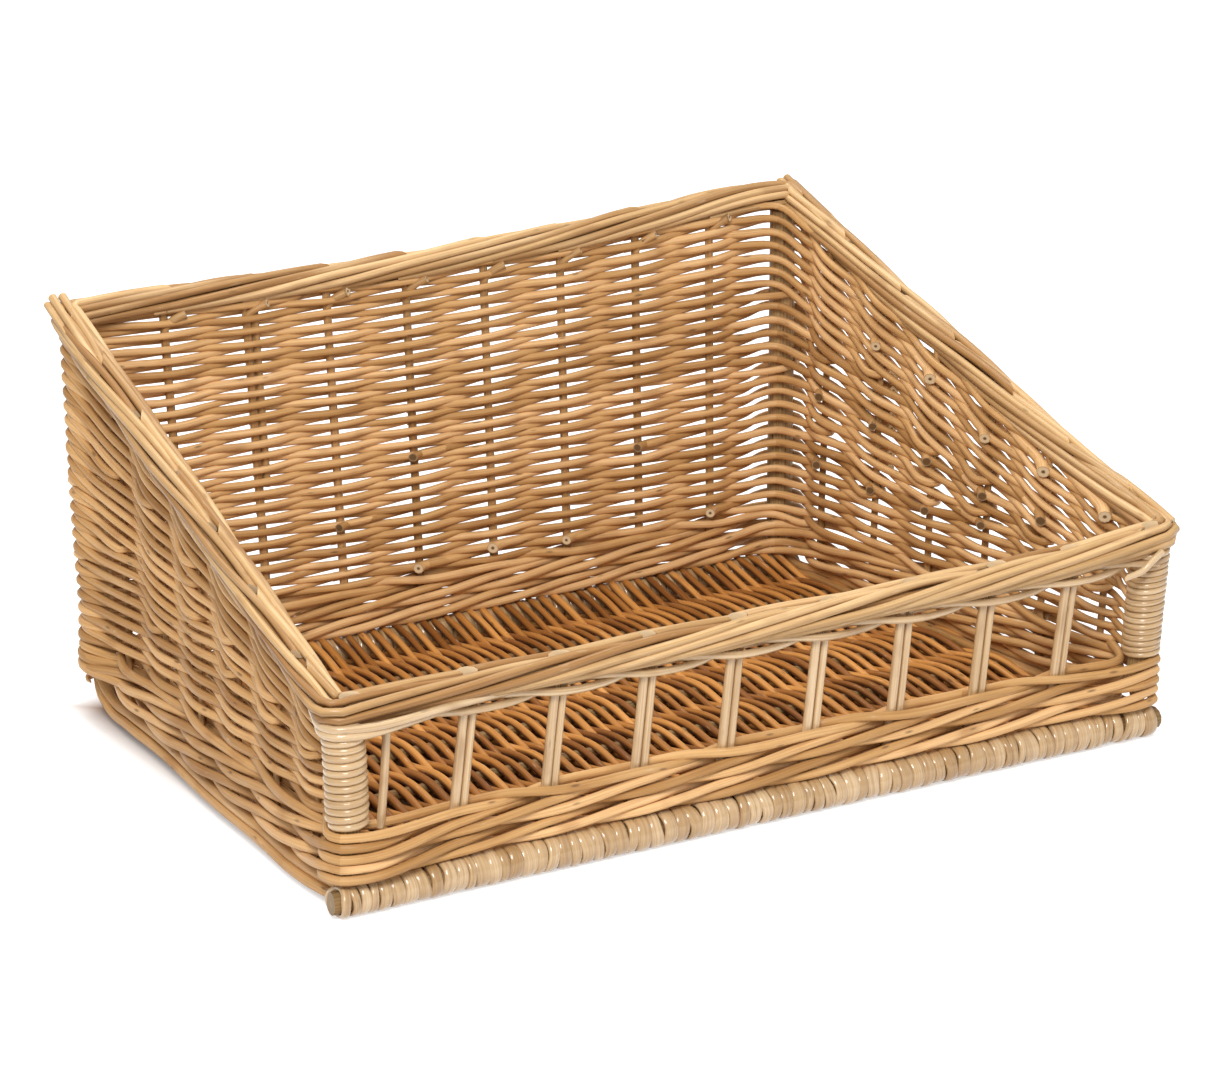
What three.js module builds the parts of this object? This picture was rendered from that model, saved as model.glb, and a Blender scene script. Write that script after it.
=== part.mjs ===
// Sloping willow display basket, in millimetres, +Z up, front towards -Y.
// The origin is on the ground under the middle of the rim's plan.

import * as THREE from 'three';

// Rim, outside sizes
const rimFrontWidth = 600;
const rimBackWidth = 560;
const rimDepth = 424;
const frontHeight = 136;
const backHeight = 276;
const borderWidth = 23;
const borderHeight = 20;
const borderRods = 6;
const borderGrooveShare = 0.1;
const borderTurns = 0.5;
const borderLevelEnd = 15;

// Walls: their middle lies inside the rim's edge, and they lean out as they rise
const sideWallInset = 19;
const endWallInset = 14;
const wallLean = 0.036;
const weaverThickness = 5;
const waleThickness = 5.5;
const crossingWidth = 9;
const cornerShoulder = 0.42;

// Heights of the parts of the front wall
const waleTop = 54;
const fitchHeight = 7.15;

// Rows of weaving between one height and the next
const backRows = 12;
const sideRows = 10;
const waleRows = 2;
const fitchRows = 2;

// Share of a row's height that stays open where it parts from the next one beside a stake
const wallOpenShare = 0.28;
const waleOpenShare = 0.08;
const fitchOpenShare = 0.33;

// Upright rods
const stakeDiameter = 6.5;
const backStakes = 8;
const sideStakeFirst = 40;
const sideStakePitch = 60;
const sideStakeToBackPost = 30;
const pairThickRod = 5.8;
const pairThinRod = 5.2;
const pairSunkTogether = 0.4;
const frontPairFirst = 72;
const frontPairPitch = 60.2;
const frontPairToPost = 40;
const frontPairLean = 0.16;
const loneRodFromPost = 22;

// Corner posts and the rods wound round the front ones
const frontPostDiameter = 16;
const backPostDiameter = 18;
const windingRod = 4.4;
const windingGap = 0.45;
const windingSides = 6;
const windingSteps = 24;

// Base
const footDiameter = 22;
const footStickDiameter = 12;
const footOverhang = 12;
const footStickStandsOut = 3;
const footRibs = 12;
const footGroove = 1.5;
const footGrooveRun = 3;
const baseSticks = 5;
const baseStickDiameter = 8;
const baseStrands = 20;
const baseStrandThickness = 4.5;
const baseOpenShare = 0.3;
const edgeRodDiameter = 14;
const edgeRodCount = 3;
const edgeRodGrooveShare = 0.25;
const edgeRodTurns = 2;

// Play between neighbours
const clearance = 0.3;
const borderSeat = 0.85;
const wovenClearance = 0.45;
const pairClearance = 1.1;
const windingPlay = 0.5;

// Faces round the rods, and steps along the twisted ones
const rodSides = 8;
const postSides = 12;
const footSides = 10;
const pairArcSteps = 5;
const borderSteps = 12;
const edgeStepCount = 18;

// Power of a rail's section: 2 is round, and a higher one is squarer
const roundSection = 2;
const squaredSection = 4;

const toneOf = {
  border: 0xe0b070,
  weaver: 0xc98f4e,
  stake: 0xb9854a,
  bark: 0x8b6a3e,
  straw: 0xe3c48c,
  base: 0xb07a42,
};

const basket = new THREE.Group();

function willow(tone) {
  return new THREE.MeshStandardMaterial({ color: toneOf[tone], roughness: 0.55, metalness: 0 });
}

function addPiece(name, geometry, tone) {
  const mesh = new THREE.Mesh(geometry, willow(tone));
  mesh.name = name;
  basket.add(mesh);
  return mesh;
}

// Plan of the walls: the four corners at a height, going round against the clock

function cornerX(rimWidth, rimHeight, z) {
  return rimWidth / 2 - sideWallInset - wallLean * (rimHeight - z);
}

const frontWallY = -(rimDepth / 2 - endWallInset);

function backWallY(z) {
  return rimDepth / 2 - endWallInset - wallLean * (backHeight - z);
}

const cornerAt = {
  frontLeft: (z) => new THREE.Vector2(-cornerX(rimFrontWidth, frontHeight, z), frontWallY),
  frontRight: (z) => new THREE.Vector2(cornerX(rimFrontWidth, frontHeight, z), frontWallY),
  backRight: (z) => new THREE.Vector2(cornerX(rimBackWidth, backHeight, z), backWallY(z)),
  backLeft: (z) => new THREE.Vector2(-cornerX(rimBackWidth, backHeight, z), backWallY(z)),
};

// Middle line of the border, half its width inside the rim's outline
const borderInset = borderWidth / 2;
const rimSkew = Math.atan((rimFrontWidth - rimBackWidth) / 2 / rimDepth);
const borderX = {
  front: rimFrontWidth / 2 - borderInset / Math.tan((Math.PI / 2 - rimSkew) / 2),
  back: rimBackWidth / 2 - borderInset / Math.tan((Math.PI / 2 + rimSkew) / 2),
};
const borderY = rimDepth / 2 - borderInset;
const borderCornerAt = {
  frontLeft: () => new THREE.Vector2(-borderX.front, -borderY),
  frontRight: () => new THREE.Vector2(borderX.front, -borderY),
  backRight: () => new THREE.Vector2(borderX.back, borderY),
  backLeft: () => new THREE.Vector2(-borderX.back, borderY),
};

const wallEnds = {
  front: ['frontLeft', 'frontRight'],
  right: ['frontRight', 'backRight'],
  back: ['backRight', 'backLeft'],
  left: ['backLeft', 'frontLeft'],
};

// A wall's own directions at a height: along it, and straight out of it
function lineOf(corners, wall, z) {
  const [fromName, toName] = wallEnds[wall];
  const from = corners[fromName](z);
  const run = corners[toName](z).sub(from);
  const length = run.length();
  const along = run.divideScalar(length);
  const out = new THREE.Vector2(along.y, -along.x);
  return { from, along, out, length };
}

function placeOn(corners, wall) {
  return (along, z, offset) => {
    const line = lineOf(corners, wall, z);
    const plan = line.from.clone();
    plan.addScaledVector(line.along, along);
    plan.addScaledVector(line.out, offset);
    return new THREE.Vector3(plan.x, plan.y, z);
  };
}

// How far a mitred end runs past its corner for each millimetre that it lies outside the middle of its wall
function mitreSlope(corners, cornerName, z) {
  const depth = corners.backLeft(z).y - corners.frontLeft(z).y;
  const narrowing = corners.frontRight(z).x - corners.backRight(z).x;
  const skew = Math.atan(narrowing / depth);
  const corner = Math.PI / 2 + (cornerName.startsWith('back') ? skew : -skew);
  return 1 / Math.tan(corner / 2);
}

// Top of a wall under its border, which is level at the front and back and slopes at the sides
function wallTop(wall, y) {
  const slopeEnd = borderY - borderLevelEnd;
  let share = (THREE.MathUtils.clamp(y, -slopeEnd, slopeEnd) + borderY) / (2 * borderY);
  if (wall === 'front') share = 0;
  if (wall === 'back') share = 1;
  return THREE.MathUtils.lerp(frontHeight, backHeight, share) - borderHeight - borderSeat;
}

function closedGeometry(points, faces) {
  const geometry = new THREE.BufferGeometry();
  geometry.setAttribute('position', new THREE.Float32BufferAttribute(points.flatMap((p) => p.toArray()), 3));
  geometry.setIndex(faces.flat());
  geometry.computeVertexNormals();
  return geometry;
}

function quad(a, b, c, d) {
  return [[a, b, c], [a, c, d]];
}

// A sheet of rows that pass the stakes on alternate sides and lie together in between.
// Each station has its place along the sheet, its offset and its lower and upper edge;
// at a station with passing rows they lie apart, one side and the other in turn, with an open slit between.
function wovenSheet(place, rows, thickness, openShare, stations) {
  const points = [];
  const faces = [];

  function addVertex(station, height, offset) {
    points.push(place(station.along(height, offset), height, offset));
    return points.length - 1;
  }

  function edgePair(station, height, middle) {
    const outer = addVertex(station, height, middle + thickness / 2);
    const inner = addVertex(station, height, middle - thickness / 2);
    return { outer, inner };
  }

  function ringsOf(station) {
    const step = (station.high - station.low) / rows;
    const rings = [];
    if (station.swing) {
      const halfSlit = (step * openShare) / 2;
      for (let row = 0; row < rows; row += 1) {
        const middle = (row + station.turn) % 2 ? station.swing : -station.swing;
        const low = edgePair(station, station.low + row * step + halfSlit, middle);
        const high = edgePair(station, station.low + (row + 1) * step - halfSlit, middle);
        rings.push([low.outer, high.outer, high.inner, low.inner]);
      }
      return rings;
    }
    let low = edgePair(station, station.low, station.offset);
    for (let row = 0; row < rows; row += 1) {
      const high = edgePair(station, station.low + (row + 1) * step, station.offset);
      rings.push([low.outer, high.outer, high.inner, low.inner]);
      low = high;
    }
    return rings;
  }

  const rings = stations.map(ringsOf);
  for (let i = 0; i + 1 < stations.length; i += 1) {
    const apart = stations[i].swing || stations[i + 1].swing;
    for (let row = 0; row < rows; row += 1) {
      const p = rings[i][row];
      const q = rings[i + 1][row];
      faces.push(...quad(p[0], q[0], q[1], p[1]));
      faces.push(...quad(p[3], p[2], q[2], q[3]));
      if (apart || row === rows - 1) faces.push(...quad(p[1], q[1], q[2], p[2]));
      if (apart || row === 0) faces.push(...quad(p[0], p[3], q[3], q[0]));
    }
  }
  for (let row = 0; row < rows; row += 1) {
    const first = rings[0][row];
    const last = rings[rings.length - 1][row];
    faces.push(...quad(first[0], first[1], first[2], first[3]));
    faces.push(...quad(last[0], last[3], last[2], last[1]));
  }
  return closedGeometry(points, faces);
}

// Stations of a sheet from its stakes, with the ends given. An end that goes round a post also gives
// the post's place, so that the rows come back to the middle before it.
function stationsBetween({ starts, ends, startPost, endPost, stakes, swing, edgesAt, middleHeight }) {
  const stations = [...starts];

  function addJoined(before, after, shift) {
    const place = (height) => (before(height) + after(height)) / 2 + shift;
    stations.push({ along: place, offset: 0, ...edgesAt(place(middleHeight)) });
  }

  if (startPost) addJoined(startPost, stakes[0], crossingWidth / 2);
  stakes.forEach((stake, index) => {
    stations.push({ along: stake, swing, turn: index, ...edgesAt(stake(middleHeight)) });
    const after = stakes[index + 1];
    if (!after) return;
    addJoined(stake, after, -crossingWidth / 2);
    addJoined(stake, after, crossingWidth / 2);
  });
  if (endPost) addJoined(stakes[stakes.length - 1], endPost, -crossingWidth / 2);
  stations.push(...ends);
  return stations;
}

const postRadiusAt = {
  frontLeft: frontPostDiameter / 2,
  frontRight: frontPostDiameter / 2,
  backRight: backPostDiameter / 2,
  backLeft: backPostDiameter / 2,
};

// One woven part of a wall. At a mitred end it goes round outside the corner post, else it stops beside it.
function wovenWall(wall, layout) {
  const { rows, thickness, openShare, stakes, stakeRadius, play, edges } = layout;
  const { mitredFrom, mitredTo, stopShort } = layout;
  const [fromName, toName] = wallEnds[wall];
  const length = (z) => lineOf(cornerAt, wall, z).length;
  const middleHeight = edges.middle;
  const place = placeOn(cornerAt, wall);
  const edgesAt = (along) => {
    const within = THREE.MathUtils.clamp(along, 0, length(middleHeight));
    const y = place(within, middleHeight, 0).y;
    return { low: edges.low, high: edges.high(wall, y) };
  };
  const around = (cornerName) => postRadiusAt[cornerName] + wovenClearance + thickness / 2;

  const starts = [];
  if (mitredFrom) {
    const offset = around(fromName);
    const slope = (z) => mitreSlope(cornerAt, fromName, z);
    starts.push({ along: (z, o) => clearance - o * slope(z), offset, ...edgesAt(0) });
    starts.push({ along: () => offset * cornerShoulder, offset, ...edgesAt(0) });
  } else {
    starts.push({ along: () => stopShort, offset: 0, ...edgesAt(stopShort) });
  }
  const ends = [];
  if (mitredTo) {
    const offset = around(toName);
    const slope = (z) => mitreSlope(cornerAt, toName, z);
    const full = length(middleHeight);
    ends.push({ along: (z) => length(z) - offset * cornerShoulder, offset, ...edgesAt(full) });
    ends.push({ along: (z, o) => length(z) - clearance + o * slope(z), offset, ...edgesAt(full) });
  } else {
    const stop = (z) => length(z) - stopShort;
    ends.push({ along: stop, offset: 0, ...edgesAt(stop(middleHeight)) });
  }
  const swing = stakeRadius + play + thickness / 2;
  const startPost = mitredFrom && (() => 0);
  const endPost = mitredTo && length;
  const spacing = { starts, ends, startPost, endPost, stakes, swing, edgesAt, middleHeight };
  return wovenSheet(place, rows, thickness, openShare, stationsBetween(spacing));
}

// Places of the upright rods along their walls, at any height

function evenStakes(wall, count) {
  return Array.from({ length: count }, (_, i) => (z) => {
    return (lineOf(cornerAt, wall, z).length * (i + 1)) / (count + 1);
  });
}

// Places from the first one on, at a pitch, as far as the room before the next post allows
function spacedPlaces(wall, first, pitch, roomAtPost) {
  const room = lineOf(cornerAt, wall, waleTop).length - first - roomAtPost;
  return Array.from({ length: Math.floor(room / pitch) + 1 }, (_, i) => first + i * pitch);
}

const fromFrontPost = spacedPlaces('right', sideStakeFirst, sideStakePitch, sideStakeToBackPost);
const rightStakes = fromFrontPost.map((distance) => () => distance);
const leftStakes = fromFrontPost
  .map((distance) => (z) => lineOf(cornerAt, 'left', z).length - distance)
  .reverse();
const backStakePlaces = evenStakes('back', backStakes);

function leaningPlace(distance) {
  return (z) => distance + (z - waleTop) * frontPairLean;
}

const pairPlaces = spacedPlaces('front', frontPairFirst, frontPairPitch, frontPairToPost).map(leaningPlace);
const loneRodPlace = leaningPlace(loneRodFromPost);

// Straight rods

function rodBetween(name, start, end, diameter, sides, tone) {
  const run = end.clone().sub(start);
  const geometry = new THREE.CylinderGeometry(diameter / 2, diameter / 2, run.length(), sides);
  const rod = addPiece(name, geometry, tone);
  rod.position.copy(start).add(end).multiplyScalar(0.5);
  rod.quaternion.setFromUnitVectors(new THREE.Vector3(0, 1, 0), run.normalize());
  return rod;
}

// Ends of a rod's middle line; its square-cut ends dip and rise at the edges by as much as it leans
function uprightEnds(wall, placeAlong, bottom, halfWidth, lean) {
  const place = placeOn(cornerAt, wall);
  const low = bottom + halfWidth * lean;
  const start = place(placeAlong(low), low, 0);
  const high = wallTop(wall, start.y) - halfWidth * lean;
  return [start, place(placeAlong(high), high, 0)];
}

const wallFoot = footDiameter + clearance;

function addStakes(prefix, wall, places) {
  places.forEach((placeAlong, index) => {
    const [start, end] = uprightEnds(wall, placeAlong, wallFoot, stakeDiameter / 2, wallLean);
    rodBetween(`${prefix}_${index + 1}`, start, end, stakeDiameter, rodSides, 'stake');
  });
}

const pairHalfWidth = (pairThickRod + pairThinRod) / 2;

// Half of the arc of each rod of a pair that stands clear of the other
const pairArc = THREE.MathUtils.degToRad(130);

function arcPoints(middleX, radius, facing) {
  return Array.from({ length: pairArcSteps + 1 }, (_, i) => {
    const angle = facing + THREE.MathUtils.lerp(-pairArc, pairArc, i / pairArcSteps);
    return new THREE.Vector2(middleX + radius * Math.cos(angle), radius * Math.sin(angle));
  });
}

// A stake and the thinner rod beside it, which touch all the way up
function pairOutline() {
  const thick = pairThickRod / 2;
  const thin = pairThinRod / 2;
  const thickArc = arcPoints(pairSunkTogether / 2 - thin, thick, Math.PI);
  const thinArc = arcPoints(thick - pairSunkTogether / 2, thin, 0);
  return new THREE.Shape([...thickArc, ...thinArc]);
}

function addFrontPairs() {
  const shape = pairOutline();
  pairPlaces.forEach((placeAlong, index) => {
    const [start, end] = uprightEnds('front', placeAlong, wallFoot, pairHalfWidth, frontPairLean);
    const run = end.clone().sub(start);
    const geometry = new THREE.ExtrudeGeometry(shape, { depth: run.length(), bevelEnabled: false });
    const pair = addPiece(`front_stake_pair_${index + 1}`, geometry, 'straw');
    pair.position.copy(start);
    pair.quaternion.setFromUnitVectors(new THREE.Vector3(0, 0, 1), run.normalize());
  });
}

// Corner posts

function postName(cornerName) {
  return cornerName.replace(/([A-Z])/, (letter) => `_${letter.toLowerCase()}`);
}

function addPosts() {
  for (const [cornerName, corner] of Object.entries(cornerAt)) {
    const radius = postRadiusAt[cornerName];
    const low = wallFoot + radius * wallLean;
    const foot = corner(low);
    const wall = cornerName.startsWith('front') ? 'front' : 'right';
    const high = wallTop(wall, foot.y - radius) - radius * wallLean;
    const head = corner(high);
    const start = new THREE.Vector3(foot.x, foot.y, low);
    const end = new THREE.Vector3(head.x, head.y, high);
    rodBetween(`corner_post_${postName(cornerName)}`, start, end, 2 * radius, postSides, 'bark');
  }
}

// The rod wound round a front post above the lower weaving, with both ends led back along the side wall
const windingRadius = frontPostDiameter / 2 + windingPlay + windingRod / 2;
const windingOutside = windingRadius + windingRod / 2;
const windingLead = windingRod;
const windingSamples = 1200;

class PostWinding extends THREE.Curve {
  constructor(corner, hand) {
    super();
    this.corner = corner;
    this.hand = hand;
    this.low = waleTop + clearance + windingRod / 2;
    this.high = wallTop('front') - windingRod / 2;
    const wanted = (this.high - this.low) / (windingRod + windingGap);
    this.turns = Math.floor(wanted - 0.5) + 0.5;
    this.coil = this.turns * 2 * Math.PI * windingRadius;
    this.arcLengthDivisions = windingSamples;
  }

  onCoil(share) {
    const angle = Math.PI + share * this.turns * 2 * Math.PI;
    const z = THREE.MathUtils.lerp(this.low, this.high, share);
    const middle = this.corner(z);
    const x = middle.x + this.hand * windingRadius * Math.cos(angle);
    return new THREE.Vector3(x, middle.y + windingRadius * Math.sin(angle), z);
  }

  getPoint(t, target = new THREE.Vector3()) {
    const travelled = t * (this.coil + 2 * windingLead) - windingLead;
    const share = THREE.MathUtils.clamp(travelled / this.coil, 0, 1);
    const lead = Math.max(-travelled, travelled - this.coil, 0);
    return target.copy(this.onCoil(share)).add(new THREE.Vector3(0, lead, 0));
  }

  leastGapToItself() {
    const perTurn = 36;
    const samples = Math.round(this.turns * perTurn);
    const points = Array.from({ length: samples + 1 }, (_, i) => this.onCoil(i / samples));
    let least = Infinity;
    for (let i = 0; i <= samples; i += 1) {
      for (let j = i + perTurn / 2; j <= samples; j += 1) {
        least = Math.min(least, points[i].distanceTo(points[j]));
      }
    }
    return least - windingRod;
  }
}

function ringOutline(radius, sides) {
  const outline = [];
  for (let i = 0; i < sides; i += 1) {
    const angle = (2 * Math.PI * i) / sides;
    outline.push(new THREE.Vector2(radius * Math.cos(angle), radius * Math.sin(angle)));
  }
  return new THREE.Shape(outline);
}

function addPostWindings() {
  for (const [cornerName, hand] of [['frontLeft', 1], ['frontRight', -1]]) {
    const winding = new PostWinding(cornerAt[cornerName], hand);
    const geometry = new THREE.ExtrudeGeometry(ringOutline(windingRod / 2, windingSides), {
      steps: Math.round(winding.turns * windingSteps),
      extrudePath: winding,
      bevelEnabled: false,
    });
    const name = `post_winding_${postName(cornerName)}`;
    addPiece(name, geometry, 'straw');
    const gap = winding.leastGapToItself().toFixed(2);
    console.log(`${name}: ${winding.turns} turns, least gap between turns ${gap} mm`);
  }
}

// Woven walls

const passesStakes = { stakeRadius: stakeDiameter / 2, play: wovenClearance };
const passesPairs = { stakeRadius: pairThickRod / 2, play: pairClearance };
const besideWinding = windingOutside + wovenClearance;

function addWales() {
  const edges = { low: wallFoot, high: () => waleTop, middle: (wallFoot + waleTop) / 2 };
  const rows = { rows: waleRows, thickness: waleThickness, openShare: waleOpenShare };
  const wale = { ...rows, edges, mitredFrom: true, mitredTo: true };
  addPiece('wale_front', wovenWall('front', { ...wale, ...passesPairs, stakes: pairPlaces }), 'weaver');
  addPiece('wale_right', wovenWall('right', { ...wale, ...passesStakes, stakes: rightStakes }), 'weaver');
  addPiece('wale_back', wovenWall('back', { ...wale, ...passesStakes, stakes: backStakePlaces }), 'weaver');
  addPiece('wale_left', wovenWall('left', { ...wale, ...passesStakes, stakes: leftStakes }), 'weaver');
}

function addWallWeaving() {
  const edges = { low: waleTop + clearance, high: wallTop, middle: (waleTop + backHeight) / 2 };
  const weave = { thickness: weaverThickness, openShare: wallOpenShare, edges, ...passesStakes };
  const right = { rows: sideRows, stakes: rightStakes, mitredTo: true, stopShort: besideWinding };
  const left = { rows: sideRows, stakes: leftStakes, mitredFrom: true, stopShort: besideWinding };
  const back = { rows: backRows, stakes: backStakePlaces, mitredFrom: true, mitredTo: true };
  addPiece('weave_right', wovenWall('right', { ...weave, ...right }), 'weaver');
  addPiece('weave_left', wovenWall('left', { ...weave, ...left }), 'weaver');
  addPiece('weave_back', wovenWall('back', { ...weave, ...back }), 'weaver');
}

function addFrontFitch() {
  const openingTop = wallTop('front') - fitchHeight;
  const geometry = wovenWall('front', {
    ...passesPairs,
    rows: fitchRows,
    thickness: windingRod,
    openShare: fitchOpenShare,
    stakes: [loneRodPlace, ...pairPlaces],
    edges: { low: openingTop, high: wallTop, middle: openingTop },
    stopShort: besideWinding,
  });
  addPiece('front_fitch', geometry, 'straw');
}

function addLoneRod() {
  const bottom = waleTop + clearance;
  const [start, end] = uprightEnds('front', loneRodPlace, bottom, pairThickRod / 2, frontPairLean);
  rodBetween('front_lone_rod', start, end, pairThickRod, rodSides, 'straw');
}

// Share of the way round a squared circle's radius that its corners stand out
function squaredReach(cos, sin, squareness) {
  return (Math.abs(cos) ** squareness + Math.abs(sin) ** squareness) ** (-1 / squareness);
}

// A rail of rods laid side by side that turn slowly round each other.
// Its ends are cut back by the play, and slanted where it meets another rail at a corner.
function twistedRail(place, length, section) {
  const { lobes, halfWidth, halfHeight, groove, squareness, turns, shares, endSlope } = section;
  const points = [];
  const faces = [];
  const around = 2 * lobes;
  const steps = shares.length - 1;
  shares.forEach((share, step) => {
    for (let k = 0; k < around; k += 1) {
      const angle = 2 * Math.PI * (k / around + turns * share);
      const cos = Math.cos(angle);
      const sin = Math.sin(angle);
      const reach = squaredReach(cos, sin, squareness) * (k % 2 ? 1 - groove : 1);
      const out = halfWidth * reach * cos;
      const up = halfHeight * reach * sin;
      let past = 0;
      if (step === 0) past = clearance - out * endSlope[0];
      if (step === steps) past = out * endSlope[1] - clearance;
      points.push(place(length * share + past, share, out, up));
    }
  });
  for (let step = 0; step < steps; step += 1) {
    for (let k = 0; k < around; k += 1) {
      const next = (k + 1) % around;
      const here = step * around;
      const there = here + around;
      faces.push(...quad(here + k, there + k, there + next, here + next));
    }
  }
  const lastRing = steps * around;
  for (let k = 1; k + 1 < around; k += 1) {
    faces.push([0, k, k + 1]);
    faces.push([lastRing, lastRing + k + 1, lastRing + k]);
  }
  return closedGeometry(points, faces);
}

function evenShares(steps, from = 0, to = 1) {
  return Array.from({ length: steps + 1 }, (_, i) => THREE.MathUtils.lerp(from, to, i / steps));
}

function addBorder(wall) {
  const [fromName, toName] = wallEnds[wall];
  const line = lineOf(borderCornerAt, wall);
  const heightAt = (name) => (name.startsWith('back') ? backHeight : frontHeight) - borderHeight / 2;
  const place = (along, share, out, up) => {
    const z = THREE.MathUtils.lerp(heightAt(fromName), heightAt(toName), share) + up;
    const plan = line.from.clone().addScaledVector(line.along, along).addScaledVector(line.out, out);
    return new THREE.Vector3(plan.x, plan.y, z);
  };
  const levelEnd = borderLevelEnd / line.length;
  const geometry = twistedRail(place, line.length, {
    lobes: borderRods,
    halfWidth: borderWidth / 2,
    halfHeight: borderHeight / 2,
    groove: borderGrooveShare,
    squareness: squaredSection,
    turns: borderTurns,
    shares: [0, ...evenShares(borderSteps - 2, levelEnd, 1 - levelEnd), 1],
    endSlope: [mitreSlope(borderCornerAt, fromName), mitreSlope(borderCornerAt, toName)],
  });
  addPiece(`border_${wall}`, geometry, 'border');
}

// Base: a bound foot at the front and back, twisted edge rods, sticks and the woven floor

const footToCorner = 1 / Math.cos(Math.PI / footSides);
const footReach = (footDiameter / 2) * footToCorner;
const footY = { front: -(rimDepth / 2 - footReach - clearance), back: backWallY(0) };
const footHalfLength = {
  front: cornerX(rimFrontWidth, frontHeight, 0) + footOverhang,
  back: cornerX(rimBackWidth, backHeight, 0) + footOverhang,
};
const baseMiddle = footDiameter / 2;

function footSleeve(halfLength) {
  const crest = footReach;
  const valley = (footDiameter / 2 - footGroove) * footToCorner;
  const bore = (footStickDiameter / 2 + wovenClearance) * footToCorner;
  const sleeve = halfLength - footStickStandsOut;
  const pitch = (2 * sleeve) / footRibs;
  const profile = [new THREE.Vector2(bore, -sleeve)];
  for (let i = 0; i < footRibs; i += 1) {
    const start = -sleeve + i * pitch;
    profile.push(new THREE.Vector2(i === 0 ? crest : valley, start));
    if (i > 0) profile.push(new THREE.Vector2(crest, start + footGrooveRun));
    profile.push(new THREE.Vector2(crest, start + pitch - (i < footRibs - 1 ? footGrooveRun : 0)));
  }
  profile.push(new THREE.Vector2(bore, sleeve), new THREE.Vector2(bore, -sleeve));
  return new THREE.LatheGeometry(profile, footSides);
}

function addFoot(side) {
  const y = footY[side];
  const half = footHalfLength[side];
  const start = new THREE.Vector3(-half, y, baseMiddle);
  const end = new THREE.Vector3(half, y, baseMiddle);
  rodBetween(`foot_stick_${side}`, start, end, footStickDiameter, footSides, 'bark');
  const sleeve = addPiece(`foot_binding_${side}`, footSleeve(half), 'straw');
  sleeve.position.set(0, y, baseMiddle);
  sleeve.rotation.set(0, 0, -Math.PI / 2);
  sleeve.rotateY(Math.PI / footSides);
}

const edgeRodMiddle = footDiameter - edgeRodDiameter / 2;

function sideWallX(y, z) {
  const front = cornerAt.frontRight(z);
  const back = cornerAt.backRight(z);
  return THREE.MathUtils.mapLinear(y, front.y, back.y, front.x, back.x);
}

function addEdgeRod(side, sign) {
  const low = footY.front + footReach;
  const high = footY.back - footReach;
  const place = (along, share, out, up) => {
    const y = low + along;
    return new THREE.Vector3(sideWallX(y, edgeRodMiddle) * sign + out, y, edgeRodMiddle + up);
  };
  const geometry = twistedRail(place, high - low, {
    lobes: edgeRodCount,
    halfWidth: edgeRodDiameter / 2,
    halfHeight: edgeRodDiameter / 2,
    groove: edgeRodGrooveShare,
    squareness: roundSection,
    turns: edgeRodTurns,
    shares: evenShares(edgeStepCount),
    endSlope: [0, 0],
  });
  addPiece(`base_edge_${side}`, geometry, 'weaver');
}

const floorStart = footY.front + footReach + clearance;
const floorEnd = footY.back - footReach - clearance;
const floorBay = (floorEnd - floorStart) / (baseSticks + 1);
const stickAlong = Array.from({ length: baseSticks }, (_, i) => () => floorBay * (i + 1));

function floorHalfWidth(y) {
  return sideWallX(y, edgeRodMiddle) - edgeRodDiameter / 2 - clearance;
}

function addBaseSticks() {
  stickAlong.forEach((along, index) => {
    const y = floorStart + along();
    const half = floorHalfWidth(y);
    const start = new THREE.Vector3(-half, y, baseMiddle);
    const end = new THREE.Vector3(half, y, baseMiddle);
    rodBetween(`base_stick_${index + 1}`, start, end, baseStickDiameter, rodSides, 'bark');
  });
}

function addFloor() {
  const place = (along, across, offset) => {
    return new THREE.Vector3(-across, floorStart + along, baseMiddle + offset);
  };
  const edgesAt = (along) => {
    const half = floorHalfWidth(floorStart + along);
    return { low: -half, high: half };
  };
  const full = floorEnd - floorStart;
  const starts = [{ along: () => 0, offset: 0, ...edgesAt(0) }];
  const ends = [{ along: () => full, offset: 0, ...edgesAt(full) }];
  const swing = baseStickDiameter / 2 + wovenClearance + baseStrandThickness / 2;
  const stations = stationsBetween({ starts, ends, stakes: stickAlong, swing, edgesAt, middleHeight: 0 });
  const geometry = wovenSheet(place, baseStrands, baseStrandThickness, baseOpenShare, stations);
  addPiece('base_weave', geometry, 'base');
}

addFoot('front');
addFoot('back');
addEdgeRod('left', -1);
addEdgeRod('right', 1);
addBaseSticks();
addFloor();
addPosts();
addPostWindings();
addStakes('back_stake', 'back', backStakePlaces);
addStakes('left_stake', 'left', leftStakes);
addStakes('right_stake', 'right', rightStakes);
addFrontPairs();
addLoneRod();
addWales();
addWallWeaving();
addFrontFitch();
for (const wall of Object.keys(wallEnds)) addBorder(wall);

export default basket;
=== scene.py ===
"""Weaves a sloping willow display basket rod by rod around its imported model, and sets up its studio."""

import math
import random

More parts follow.
